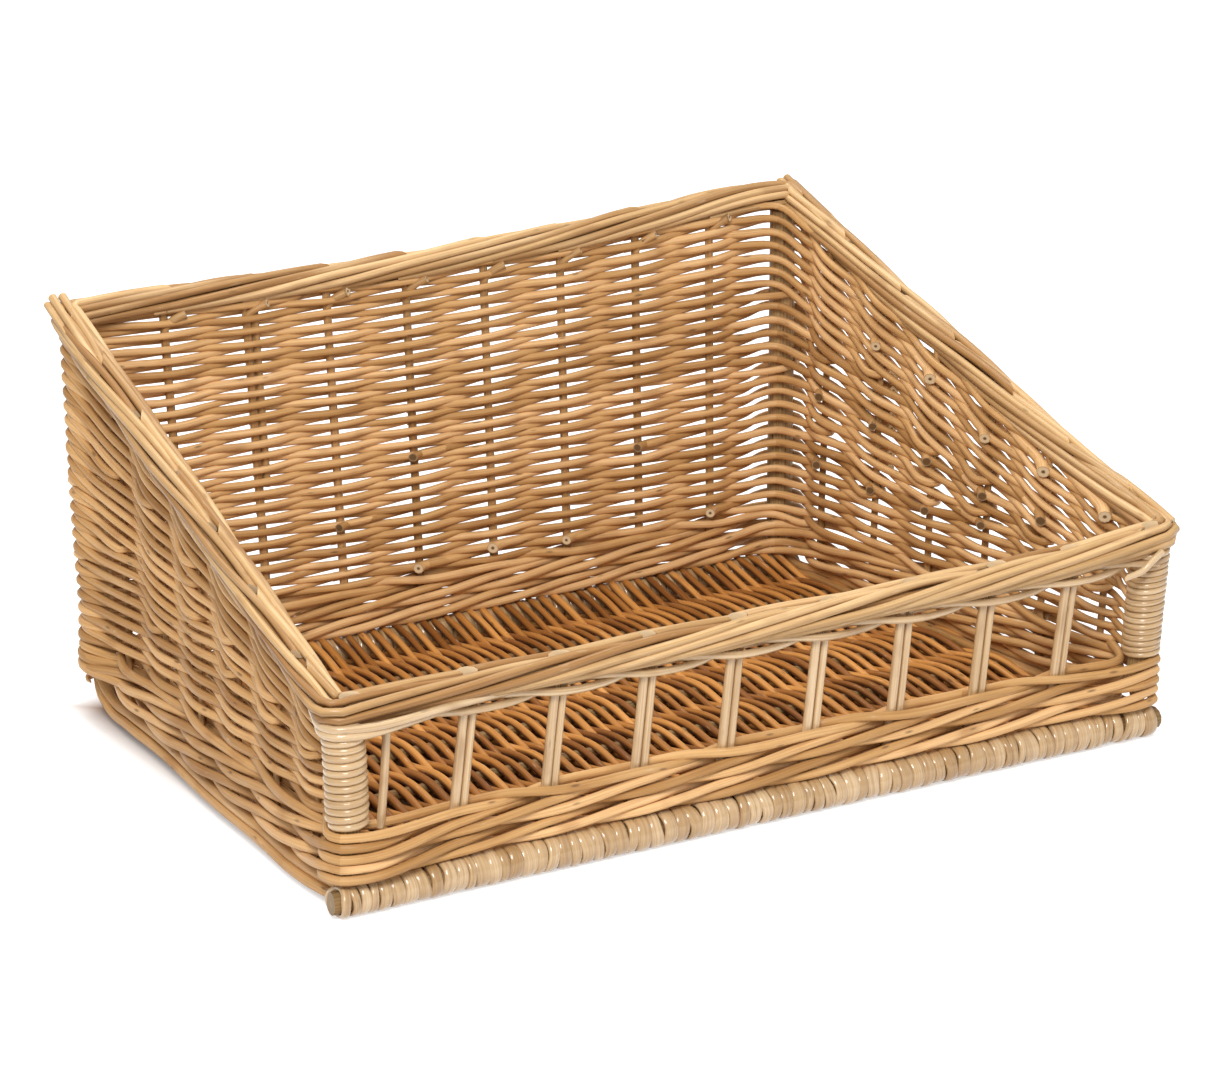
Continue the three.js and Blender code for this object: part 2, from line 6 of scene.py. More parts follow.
import bpy
import numpy as np
from mathutils import Matrix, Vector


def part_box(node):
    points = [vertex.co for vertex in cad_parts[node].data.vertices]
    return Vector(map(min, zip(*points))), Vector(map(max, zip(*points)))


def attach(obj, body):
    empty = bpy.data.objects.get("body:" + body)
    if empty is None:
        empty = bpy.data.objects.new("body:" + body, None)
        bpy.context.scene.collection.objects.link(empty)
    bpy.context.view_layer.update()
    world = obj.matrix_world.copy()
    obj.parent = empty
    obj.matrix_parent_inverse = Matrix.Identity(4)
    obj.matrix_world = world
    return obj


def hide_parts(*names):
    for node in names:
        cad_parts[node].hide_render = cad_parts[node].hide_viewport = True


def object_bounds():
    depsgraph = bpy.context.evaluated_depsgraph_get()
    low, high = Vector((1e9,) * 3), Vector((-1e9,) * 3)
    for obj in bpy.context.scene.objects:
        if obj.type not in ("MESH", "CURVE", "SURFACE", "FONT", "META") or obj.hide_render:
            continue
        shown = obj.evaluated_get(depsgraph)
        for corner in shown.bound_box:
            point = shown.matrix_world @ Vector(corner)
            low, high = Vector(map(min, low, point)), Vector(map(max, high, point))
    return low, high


bl_info = {
    "name": "Willow Display Basket",
    "version": (1, 0, 0),
    "blender": (4, 5, 0),
    "location": "3D View > Sidebar > Basket",
    "description": "Weaves a sloping willow display basket rod by rod",
    "category": "Add Mesh",
}

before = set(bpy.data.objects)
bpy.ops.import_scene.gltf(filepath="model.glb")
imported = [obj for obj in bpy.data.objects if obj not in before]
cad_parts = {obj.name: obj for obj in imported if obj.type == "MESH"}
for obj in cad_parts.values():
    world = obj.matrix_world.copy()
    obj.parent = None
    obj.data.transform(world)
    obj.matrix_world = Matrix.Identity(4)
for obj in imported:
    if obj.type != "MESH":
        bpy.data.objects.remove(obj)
model_box = [list(corner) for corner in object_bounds()]

MM = 0.001
UP = np.array((0.0, 0.0, 1.0))
RIGHT = np.array((1.0, 0.0, 0.0))
BACK = np.array((0.0, 1.0, 0.0))


# Reading the frame

def points_of(node):
    """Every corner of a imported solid."""
    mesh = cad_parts[node].data
    points = np.empty(len(mesh.vertices) * 3)
    mesh.vertices.foreach_get("co", points)
    return points.reshape(-1, 3)


def span_of(node):
    """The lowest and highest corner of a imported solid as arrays."""
    low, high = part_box(node)
    return np.array(low), np.array(high)


def across(node, axis):
    """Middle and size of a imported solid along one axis."""
    low, high = span_of(node)
    return (low[axis] + high[axis]) / 2, high[axis] - low[axis]


class Upright:
    """The line of a stake or post, which the weaving passes on one side or the other."""

    def __init__(self, node, radius, normals, depth=1.0):
        points = points_of(node)
        heights = points[:, 2]
        end = 1.5 * MM
        self.node = node
        self.low = points[heights < heights.min() + end].mean(axis=0)
        self.high = points[heights > heights.max() - end].mean(axis=0)
        self.radius = radius
        self.depth = depth
        self.normals = [np.array(n) for n in normals]
        outward = sum(self.normals)
        self.outward = outward / np.linalg.norm(outward)

    def at(self, height):
        """The middle of the stake at a height."""
        share = (height - self.low[2]) / (self.high[2] - self.low[2])
        return self.low + (self.high - self.low) * share

    def passed(self, side, rod, height, station, backwards=False):
        """The places of a rod that passes this upright outside (1) or inside (-1)."""
        middle = self.at(height)
        reach = self.radius * self.depth + rod
        if len(self.normals) == 1:
            return [(middle + self.outward * side * reach, station)]
        if side < 0:
            return [(middle - self.outward * reach * 1.15, station)]
        places = [
            (middle + self.normals[0] * reach, station - 0.1),
            (middle + self.outward * reach, station),
            (middle + self.normals[1] * reach, station + 0.1),
        ]
        return places[::-1] if backwards else places


def wall_normal(start, end):
    """The level direction out of the wall between two posts, which run clockwise from above."""
    run = points_of(end).mean(axis=0) - points_of(start).mean(axis=0)
    normal = np.array((-run[1], run[0], 0.0))
    return normal / np.linalg.norm(normal)


POSTS = (
    "corner_post_front_left",
    "corner_post_back_left",
    "corner_post_back_right",
    "corner_post_front_right",
)
LEFT_OUT = wall_normal(POSTS[0], POSTS[1])
BACK_OUT = wall_normal(POSTS[1], POSTS[2])
RIGHT_OUT = wall_normal(POSTS[2], POSTS[3])
FRONT_OUT = wall_normal(POSTS[3], POSTS[0])


# The sizes and colours that a user would change

def length(name, value, description):
    """A length in metres, given in millimetres here."""
    return bpy.props.FloatProperty(
        name=name, description=description, default=value * MM, unit="LENGTH", precision=4
    )


def bearing(name, degrees, description):
    """An angle, given in degrees here."""
    return bpy.props.FloatProperty(
        name=name, description=description, default=math.radians(degrees), subtype="ANGLE"
    )


def count_of(name, value, least, description):
    """A whole number of rows, rounds or strands."""
    return bpy.props.IntProperty(name=name, description=description, default=value, min=least)


def tint(name, value, description):
    """The usual colour of one kind of rod."""
    return bpy.props.FloatVectorProperty(
        name=name, description=description, default=value, subtype="COLOR", size=3, min=0, max=1
    )


class WillowWeave(bpy.types.PropertyGroup):
    """Sizes of the woven walls and the uprights"""

    rows: count_of("Rows", 49, 9, "Rows of weaving in the back wall")
    bottom_rows: count_of("Whole rows", 8, 0, "Rows at the foot of a side wall that run its whole depth")
    thickness: bpy.props.FloatProperty(
        name="Rod share",
        description="Rod thickness as a share of the room of one row",
        default=1.27,
        subtype="FACTOR",
    )
    stake: length("Stake", 6.2, "Diameter of a wall stake")
    post: length("Back post", 18, "Diameter of a back corner post")
    front_post: length("Front post", 16, "Diameter of a front corner post")
    pair: length("Pair", 5.8, "Diameter of the thicker rod of a front pair")
    thin: length("Thin rod", 4.9, "Diameter of the thinner rod of a front pair")
    step: length("Step", 5.5, "Length of one straight step along a rod")


class WillowBorder(bpy.types.PropertyGroup):
    """Sizes of the rods that go round the basket"""

    rod: length("Border rod", 5.2, "Diameter of a border rod")
    wale: length("Wale rod", 5.7, "Diameter of a wale rod")
    wale_rounds: count_of("Wale rounds", 2, 1, "Whole rounds of the lower wale, under a last twisted pair")
    winding: length("Left winding rod", 4.7, "Diameter of the rod wound round the left front post")
    fine_winding: length("Right winding rod", 3.6, "Diameter of the rod wound round the right front post")
    fitch: length("Fitch rod", 5.0, "Diameter of the two rods twisted under the front border")


class WillowBase(bpy.types.PropertyGroup):
    """Sizes of the floor and the feet"""

    wrap: length("Wrap", 7.3, "Average width of one turn round a foot")
    strand: length("Strand", 5.1, "Diameter of a floor strand")
    strands: count_of("Strands", 110, 10, "Strands of the floor")
    edge: length("Edge rod", 6.8, "Diameter of each of the three rods along a side of the base")


class WillowColours(bpy.types.PropertyGroup):
    """The usual colour of each kind of rod"""

    border: tint("Border", (0.66, 0.42, 0.185), "Rods of the border")
    weaver: tint("Weaver", (0.66, 0.38, 0.145), "Rods of the walls")
    stake: tint("Stake", (0.50, 0.28, 0.105), "Upright stakes")
    bark: tint("Bark", (0.42, 0.265, 0.11), "Thicker sticks with some bark left on")
    straw: tint("Straw", (0.61, 0.415, 0.215), "Pale front rods and foot wraps")
    base: tint("Base", (0.50, 0.205, 0.04), "Strands of the floor")


class WillowStudio(bpy.types.PropertyGroup):
    """Where the camera stands"""

    azimuth: bearing("Azimuth", -29.6, "Turn of the camera round the basket")
    elevation: bearing("Elevation", 17.9, "Height of the camera above level")
    roll: bearing("Roll", -0.91, "Tilt of the camera")
    distance: length("Distance", 2876.6, "From the camera to the point that it looks at")
    target: bpy.props.FloatVectorProperty(
        name="Target",
        description="The point that the camera looks at",
        default=(-0.0723, -0.1411, 0.1751),
        subtype="XYZ",
        unit="LENGTH",
    )
    lens: bpy.props.FloatProperty(
        name="Lens", description="Focal length in millimetres", default=142.99, unit="CAMERA"
    )


# Rods

# How pale a cut end is at its edge, half way in and at its middle
FRESH_CUT = (1.0, 0.5, 0.0)
SLANTED_CUT = (0.7, 0.5, 0.55)
OLD_CUT = (0.3, 0.12, 0.0)


class Bundle:
    """Rods that make up one piece of the basket."""

    def __init__(self):
        self.points = []
        self.places = []
        self.looks = []
        self.faces = []
        self.count = 0

    def put(self, points, places, looks, faces):
        """Adds points with their attributes, and faces that count from the first of them."""
        self.points.append(points)
        self.places.append(places)
        self.looks.append(looks)
        self.faces.extend([[i + self.count for i in face] for face in faces])
        self.count += len(points)

    def tube(self, rings, places, tone, cut_look=FRESH_CUT):
        """Skins a run of rings and closes its ends with cut faces, if they have a look."""
        count, sides = rings.shape[:2]
        looks = np.zeros((count * sides, 3))
        looks[:, 0] = tone
        looks[:, 1] = 1.0
        faces = []
        for ring in range(count - 1):
            a = ring * sides
            b = a + sides
            for i in range(sides):
                j = (i + 1) % sides
                faces.append((a + i, b + i, b + j, a + j))
        self.put(rings.reshape(-1, 3), places.reshape(-1, 3), looks, faces)
        if cut_look:
            self.cap(rings[0], places[0], tone, True, cut_look)
            self.cap(rings[-1], places[-1], tone, False, cut_look)

    def cap(self, ring, place, tone, first, cut_look):
        """Closes the first or last ring with a cut face of two circles and a middle."""
        sides = len(ring)
        middle = ring.mean(axis=0)
        place_middle = place.mean(axis=0)
        inner = middle + (ring - middle) * 0.5
        inner_place = place_middle + (place - place_middle) * 0.5
        points = np.vstack([ring, inner, middle[None]])
        places = np.vstack([place, inner_place, place_middle[None]])
        looks = np.zeros((2 * sides + 1, 3))
        looks[:, 0] = tone
        looks[:sides, 1], looks[sides:2 * sides, 1], looks[2 * sides, 1] = cut_look
        looks[:, 2] = 1.0
        faces = []
        for i in range(sides):
            j = (i + 1) % sides
            quad = (i, sides + i, sides + j, j)
            tip = (sides + i, 2 * sides, sides + j)
            faces.append(quad[::-1] if first else quad)
            faces.append(tip[::-1] if first else tip)
        self.put(points, places, looks, [face[::-1] for face in faces])


def smooth_path(controls, step):
    """A smooth line through control places, and the control number that each of its points is at."""
    controls = np.asarray(controls, dtype=float)
    gaps = np.maximum(np.linalg.norm(np.diff(controls, axis=0), axis=1), 1e-6)
    slopes = np.diff(controls, axis=0) / gaps[:, None]
    tangents = np.empty_like(controls)
    tangents[0] = slopes[0]
    tangents[-1] = slopes[-1]
    before = gaps[:-1, None]
    after = gaps[1:, None]
    tangents[1:-1] = (slopes[:-1] * after + slopes[1:] * before) / (before + after)
    knots = [np.array([0.0])]
    for i, gap in enumerate(gaps):
        pieces = max(2, math.ceil(gap / step))
        knots.append(i + np.arange(1, pieces + 1) / pieces)
    knots = np.concatenate(knots)
    index = np.minimum(knots.astype(int), len(gaps) - 1)
    t = (knots - index)[:, None]
    gap = gaps[index][:, None]
    path = (
        controls[index] * (2 * t ** 3 - 3 * t ** 2 + 1)
        + tangents[index] * gap * (t ** 3 - 2 * t ** 2 + t)
        + controls[index + 1] * (3 * t ** 2 - 2 * t ** 3)
        + tangents[index + 1] * gap * (t ** 3 - t ** 2)
    )
    return path, knots


def distance_along(path):
    """How far along a path each of its points is."""
    return np.concatenate([[0.0], np.cumsum(np.linalg.norm(np.diff(path, axis=0), axis=1))])


def rings_round(path, radii, reference, sides=8, deep=1.0, slants=(0.0, 0.0), start=0.0):
    """Rings of points round a path, and the place of each in the rod's own measure."""
    tangents = np.gradient(path, axis=0)
    tangents /= np.linalg.norm(tangents, axis=1)[:, None]
    side = np.cross(np.broadcast_to(reference, path.shape), tangents)
    side /= np.linalg.norm(side, axis=1)[:, None]
    top = np.cross(tangents, side)
    angles = np.arange(sides) * 2 * math.pi / sides + math.pi / sides
    radii = np.broadcast_to(radii, len(path))
    level = radii[:, None] * np.cos(angles)[None] * deep
    rise = radii[:, None] * np.sin(angles)[None]
    rings = path[:, None] + side[:, None] * level[..., None] + top[:, None] * rise[..., None]
    for end, slant in ((0, slants[0]), (-1, slants[1])):
        rings[end] += tangents[end] * (level[end] * slant)[:, None]
    along = np.broadcast_to((distance_along(path) + start)[:, None], level.shape)
    places = np.stack([along, level, rise], axis=-1)
    return rings, places


# Each rod reads its grain from another part of this many metres of willow
GRAIN_RANGE = 20


def swell(count, chance, uneven=0.02, reach=4):
    """A wandering share near 1, which keeps a rod from looking turned on a lathe."""
    knots = np.array([chance.gauss(0, uneven) for _ in range(max(4, int(count / reach) + 4))])
    return 1 + np.interp(np.arange(count) / reach, np.arange(len(knots)), knots)


def lay_rod(bundle, path, radii, chance, reference=UP, sides=8, tone=None, slants=(0.0, 0.0),
            deep=1.0, uneven=0.02, cut_look=FRESH_CUT):
    """One rod along a path."""
    path = np.asarray(path)
    tone = chance.random() if tone is None else tone
    radii = np.broadcast_to(radii, len(path)) * swell(len(path), chance, uneven)
    rings, places = rings_round(path, radii, reference, sides, deep, slants, chance.random() * GRAIN_RANGE)
    bundle.tube(rings, places, tone, cut_look)


def ease(share):
    """A share from 0 to 1 that starts and ends slowly."""
    share = np.clip(share, 0.0, 1.0)
    return share * share * (3 - 2 * share)


# Willow

class Shading:
    """Adds nodes to a material or world, each with its settings, numbers and links."""

    def __init__(self, owner):
        owner.use_nodes = True
        self.nodes = owner.node_tree.nodes
        self.links = owner.node_tree.links
        self.nodes.clear()

    def add(self, kind, inputs=None, **settings):
        node = self.nodes.new("ShaderNode" + kind)
        for name, value in settings.items():
            setattr(node, name, value)
        for name, value in (inputs or {}).items():
            socket = node.inputs[name]
            if isinstance(value, bpy.types.NodeSocket):
                self.links.new(value, socket)
            else:
                socket.default_value = (*value, 1.0) if socket.type == "RGBA" else value
        return node

    def maths(self, operation, *values):
        return self.add("Math", dict(enumerate(values)), operation=operation).outputs[0]

    def mix(self, kind, factor, first, second):
        inputs = {"Factor": factor, "A": first, "B": second}
        return self.add("Mix", inputs, data_type="RGBA", blend_type=kind).outputs["Result"]

    def parts(self, vector):
        return self.add("SeparateXYZ", {"Vector": vector}).outputs

    def placed(self, place, scale):
        return self.add("Mapping", {"Vector": place, "Scale": scale}).outputs["Vector"]

    def noise(self, place, scale, detail):
        inputs = {"Vector": self.placed(place, scale), "Scale": 1.0, "Detail": detail}
        return self.add("TexNoise", inputs).outputs["Fac"]

    def ranged(self, value, low, high, to_low, to_high):
        inputs = {"Value": value, "From Min": low, "From Max": high, "To Min": to_low, "To Max": to_high}
        return self.add("MapRange", inputs, interpolation_type="SMOOTHSTEP").outputs["Result"]


def shaded(colour, factors):
    """A colour with each of its three parts multiplied, up to white."""
    return tuple(min(1.0, part * factor) for part, factor in zip(colour, factors))


# What a slot's own colour is multiplied with in its browner and its paler patches
BROWNER = (0.62, 0.50, 0.40)
PALER = (1.22, 1.34, 1.6)
OLIVE = (0.26, 0.215, 0.095)
FIBRE_BROWN = (0.55, 0.42, 0.30)
# The brown of the painted shade on the underside of each rod
SHADE_BROWN = (0.22, 0.13, 0.07)
SCUFF_PALE = (0.80, 0.66, 0.45)
KNOT_BROWN = (0.075, 0.04, 0.018)
PITH_BROWN = (0.15, 0.08, 0.03)
CUT_WOOD = (0.74, 0.57, 0.35)
RIND_BROWN = (0.5, 0.36, 0.22)


def willow(name, colour, dark, pale, roughness, streaks, knots, green=0.0, gloss=0.0, dull=0.22, shade=0.0):
    """Peeled or boiled willow: its own tone, streaks, knots, cut ends with pith, a soft gloss and, for some
    slots, painted shade on the underside of each rod.
    """
    material = bpy.data.materials.new(name)
    shading = Shading(material)
    place = shading.add("Attribute", attribute_name="rod_place").outputs["Vector"]
    look = shading.add("Attribute", attribute_name="rod_look").outputs["Vector"]
    rod_tone, to_edge, is_cut = shading.parts(look)
    fibres = shading.noise(place, (14.0, 900.0, 900.0), 3.0)
    patches = shading.noise(place, (28.0, 60.0, 60.0), 2.0)
    blotches = shading.noise(place, (9.0, 20.0, 20.0), 1.0)
    scuffs = shading.noise(place, (60.0, 500.0, 500.0), 4.0)

    tone = shading.add("ValToRGB", {"Fac": rod_tone})
    stops = tone.color_ramp.elements
    stops[0].color = (*shaded(colour, dark), 1.0)
    stops[1].color = (*shaded(colour, pale), 1.0)
    stops.new(0.55).color = (*colour, 1.0)

    browned = shading.ranged(patches, 0.52, 0.74, 0.0, 0.55)
    skin = shading.mix("MIX", browned, tone.outputs["Color"], shaded(colour, BROWNER))
    bleached = shading.ranged(blotches, 0.50, 0.72, 0.0, 0.55)
    skin = shading.mix("MIX", bleached, skin, shaded(colour, PALER))
    if green:
        stains = shading.noise(place, (20.0, 80.0, 80.0), 2.0)
        skin = shading.mix("MIX", shading.ranged(stains, 0.4, 0.62, 0.0, green), skin, OLIVE)
    skin = shading.mix("MULTIPLY", shading.ranged(fibres, 0.35, 0.7, 0.0, streaks), skin, FIBRE_BROWN)
    # Painted shade: the lower side of each rod is darkened towards a dark brown, so that the gaps between
    # rods look deep
    if shade:
        rise = shading.parts(place)["Z"]
        underside_shade = shading.ranged(rise, -0.4 * MM, 1.9 * MM, shade, 0.0)
        skin = shading.mix("MULTIPLY", underside_shade, skin, SHADE_BROWN)
    skin = shading.mix("MIX", shading.ranged(scuffs, 0.62, 0.78, 0.0, 0.35), skin, SCUFF_PALE)
    spots = shading.add("TexVoronoi", {"Vector": shading.placed(place, (34.0, 130.0, 130.0)), "Scale": 1.0})
    knotted = shading.ranged(spots.outputs["Distance"], 0.04, 0.15, knots, 0.0)
    skin = shading.mix("MIX", knotted, skin, KNOT_BROWN)

    cut = shading.mix("MIX", shading.ranged(to_edge, 0.18, 0.42, 0.0, 1.0), PITH_BROWN, CUT_WOOD)
    cut = shading.mix("MULTIPLY", shading.ranged(to_edge, 0.80, 1.0, 0.0, 0.75), cut, RIND_BROWN)
    fine = shading.add("Bump", {"Strength": 0.22, "Distance": 0.4 * MM, "Height": fibres})
    coarse = shading.add("Bump", {
        "Strength": 0.25, "Distance": 0.6 * MM, "Height": scuffs, "Normal": fine.outputs["Normal"],
    })
    surface = shading.add("BsdfPrincipled", {
        "Base Color": shading.mix("MIX", is_cut, skin, cut),
        "Roughness": shading.ranged(patches, 0.3, 0.75, roughness, roughness + 0.22),
        "Specular IOR Level": 0.34,
        "Sheen Weight": 0.03,
        "Sheen Roughness": 0.5,
        "Coat Weight": gloss,
        "Coat Roughness": dull,
        "Normal": coarse.outputs["Normal"],
    })
    shading.add("OutputMaterial", {"Surface": surface.outputs["BSDF"]})
    return material


# What sets the slots apart: darkest and palest rod as multiples of the colour, roughness of the skin,
# strength of streaks, knots, green stains, gloss and the painted shade underneath each rod, and roughness of
# the gloss
FINISHES = {
    "border": dict(dark=(0.60, 0.47, 0.34), pale=(1.22, 1.28, 1.45), roughness=0.32, streaks=0.45, knots=0.35,
                   gloss=0.06, dull=0.18, shade=0.28),
    "weaver": dict(dark=(0.62, 0.54, 0.42), pale=(1.30, 1.42, 1.75), roughness=0.42, streaks=0.45, knots=0.65,
                   gloss=0.02),
    "stake": dict(dark=(0.72, 0.64, 0.52), pale=(1.2, 1.25, 1.35), roughness=0.45, streaks=0.60, knots=0.85,
                  green=0.15),
    "bark": dict(dark=(0.6, 0.52, 0.42), pale=(1.35, 1.35, 1.35), roughness=0.50, streaks=0.90, knots=0.85,
                 green=0.3),
    "straw": dict(dark=(0.74, 0.66, 0.54), pale=(1.14, 1.20, 1.32), roughness=0.20, streaks=0.55, knots=0.35,
                  gloss=0.85, dull=0.12),
    "base": dict(dark=(0.46, 0.38, 0.28), pale=(1.48, 1.70, 2.25), roughness=0.38, streaks=0.55, knots=0.65,
                 shade=0.85),
}
MATERIALS = {}


def finish_for(slot):
    """The willow finish of one slot, made once."""
    if slot not in MATERIALS:
        colour = tuple(getattr(bpy.context.scene.willow_colours, slot))
        MATERIALS[slot] = willow("willow_" + slot, colour, **FINISHES[slot])
    return MATERIALS[slot]


# Where the handmade basket strays from straight lines: the middle of each place, how far it reaches each way
# and how far it moves there, in millimetres
SETTLING = (
    ((235, 200, 276), (48, 90, 110), (0, 0, 5.5)),
    ((175, 200, 276), (60, 90, 110), (0, 0, 2.5)),
    ((-60, 200, 276), (130, 90, 110), (0, 0, -3.6)),
    ((300, -200, 136), (80, 80, 60), (5, 0, 5)),
    ((300, 0, 206), (60, 260, 120), (2.2, 0, 2.2)),
    ((-285, 200, 100), (60, 90, 110), (-6, 0, 0)),
    ((-285, 200, 40), (50, 70, 28), (-4, 0, 0)),
    ((-270, -20, 0), (60, 160, 55), (-11, 0, -4)),
    ((-275, 150, 0), (40, 60, 40), (-4, 0, -3)),
    ((-275, -150, 0), (40, 55, 40), (-5, 0, -3)),
)


def settled(points):
    """The places of a piece's points in the basket as it has settled."""
    moved = points.copy()
    for middle, reach, shift in SETTLING:
        off = (points - np.array(middle) * MM) / (np.array(reach) * MM)
        share = np.exp(-np.sum(off ** 2, axis=1))
        moved += share[:, None] * np.array(shift)[None] * MM
    ground = np.clip(points[:, 2] / (8 * MM), 0.0, 1.0)
    moved[:, 2] = points[:, 2] + (moved[:, 2] - points[:, 2]) * ground
    return moved


def make_piece(name, bundle, slot, *nodes):
    """Turns a bundle of rods into one piece, in its finish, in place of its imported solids."""
    mesh = bpy.data.meshes.new(name)
    points = settled(np.vstack(bundle.points))
    mesh.from_pydata(points.tolist(), [], bundle.faces)
    mesh.polygons.foreach_set("use_smooth", [True] * len(mesh.polygons))
    for label, rows in (("rod_place", bundle.places), ("rod_look", bundle.looks)):
        layer = mesh.attributes.new(label, "FLOAT_VECTOR", "POINT")
        layer.data.foreach_set("vector", np.vstack(rows).ravel())
    mesh.materials.append(finish_for(slot))
    mesh.update()
    piece = bpy.data.objects.new(name, mesh)
    bpy.context.scene.collection.objects.link(piece)
    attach(piece, "root")
    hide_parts(*nodes)
    return piece


# The order of the uprights

# How deep a stake and a weaving rod are across the wall, as a share of their height
STAKE_DEPTH = 0.66
ROD_DEPTH = 0.82

# Where the posts come in the walk from the left front post round the back to the right front post
LEFT_CORNER = 7
RIGHT_CORNER = 16
LAST_UPRIGHT = 23
CORNERS = (0, LEFT_CORNER, RIGHT_CORNER, LAST_UPRIGHT)

# All rows pass outside the left back post, every other one this much closer to it
CORNER_RECESS = 2.2 * MM

# Share of its room that a row takes up where it turns back round a stake, and where it leaves room for others
TIGHT_TURN = 0.5
CLOSING_TURN = 0.02

# How many pairs of rows turn back at each upright of a side wall, from the back post to the front
TURNS_BY_UPRIGHT = (2, 2, 2, 3, 2, 2, 2)
TURN_ORDER = {
    "left": (8, 2, 12, 5, 14, 0, 10, 6, 13, 3, 9, 1, 7, 11, 4),
    "right": (7, 13, 3, 10, 0, 14, 5, 9, 2, 12, 6, 1, 8, 4, 11),
}


def wall_uprights(weave):
    """Posts and stakes from the left front post round the back to the right front post."""
    stake = weave.stake / 2
    posts = [
        Upright(POSTS[0], weave.front_post / 2, [LEFT_OUT]),
        Upright(POSTS[1], weave.post / 2, [LEFT_OUT, BACK_OUT]),
        Upright(POSTS[2], weave.post / 2, [BACK_OUT, RIGHT_OUT]),
        Upright(POSTS[3], weave.front_post / 2, [RIGHT_OUT]),
    ]
    left = [Upright(f"left_stake_{i}", stake, [LEFT_OUT], STAKE_DEPTH) for i in range(6, 0, -1)]
    back = [Upright(f"back_stake_{i}", stake, [BACK_OUT], STAKE_DEPTH) for i in range(8, 0, -1)]
    right = [Upright(f"right_stake_{i}", stake, [RIGHT_OUT], STAKE_DEPTH) for i in range(6, 0, -1)]
    return [posts[0], *left, posts[1], *back, posts[2], *right, posts[3]]


def turning_uprights(side):
    """For each pair of rows, how many uprights it goes past the back post before it turns."""
    places = [upright for upright, count in enumerate(TURNS_BY_UPRIGHT) for _ in range(count)]
    turns = [0] * len(places)
    for pair, place in zip(TURN_ORDER[side], places):
        turns[pair] = place
    return turns


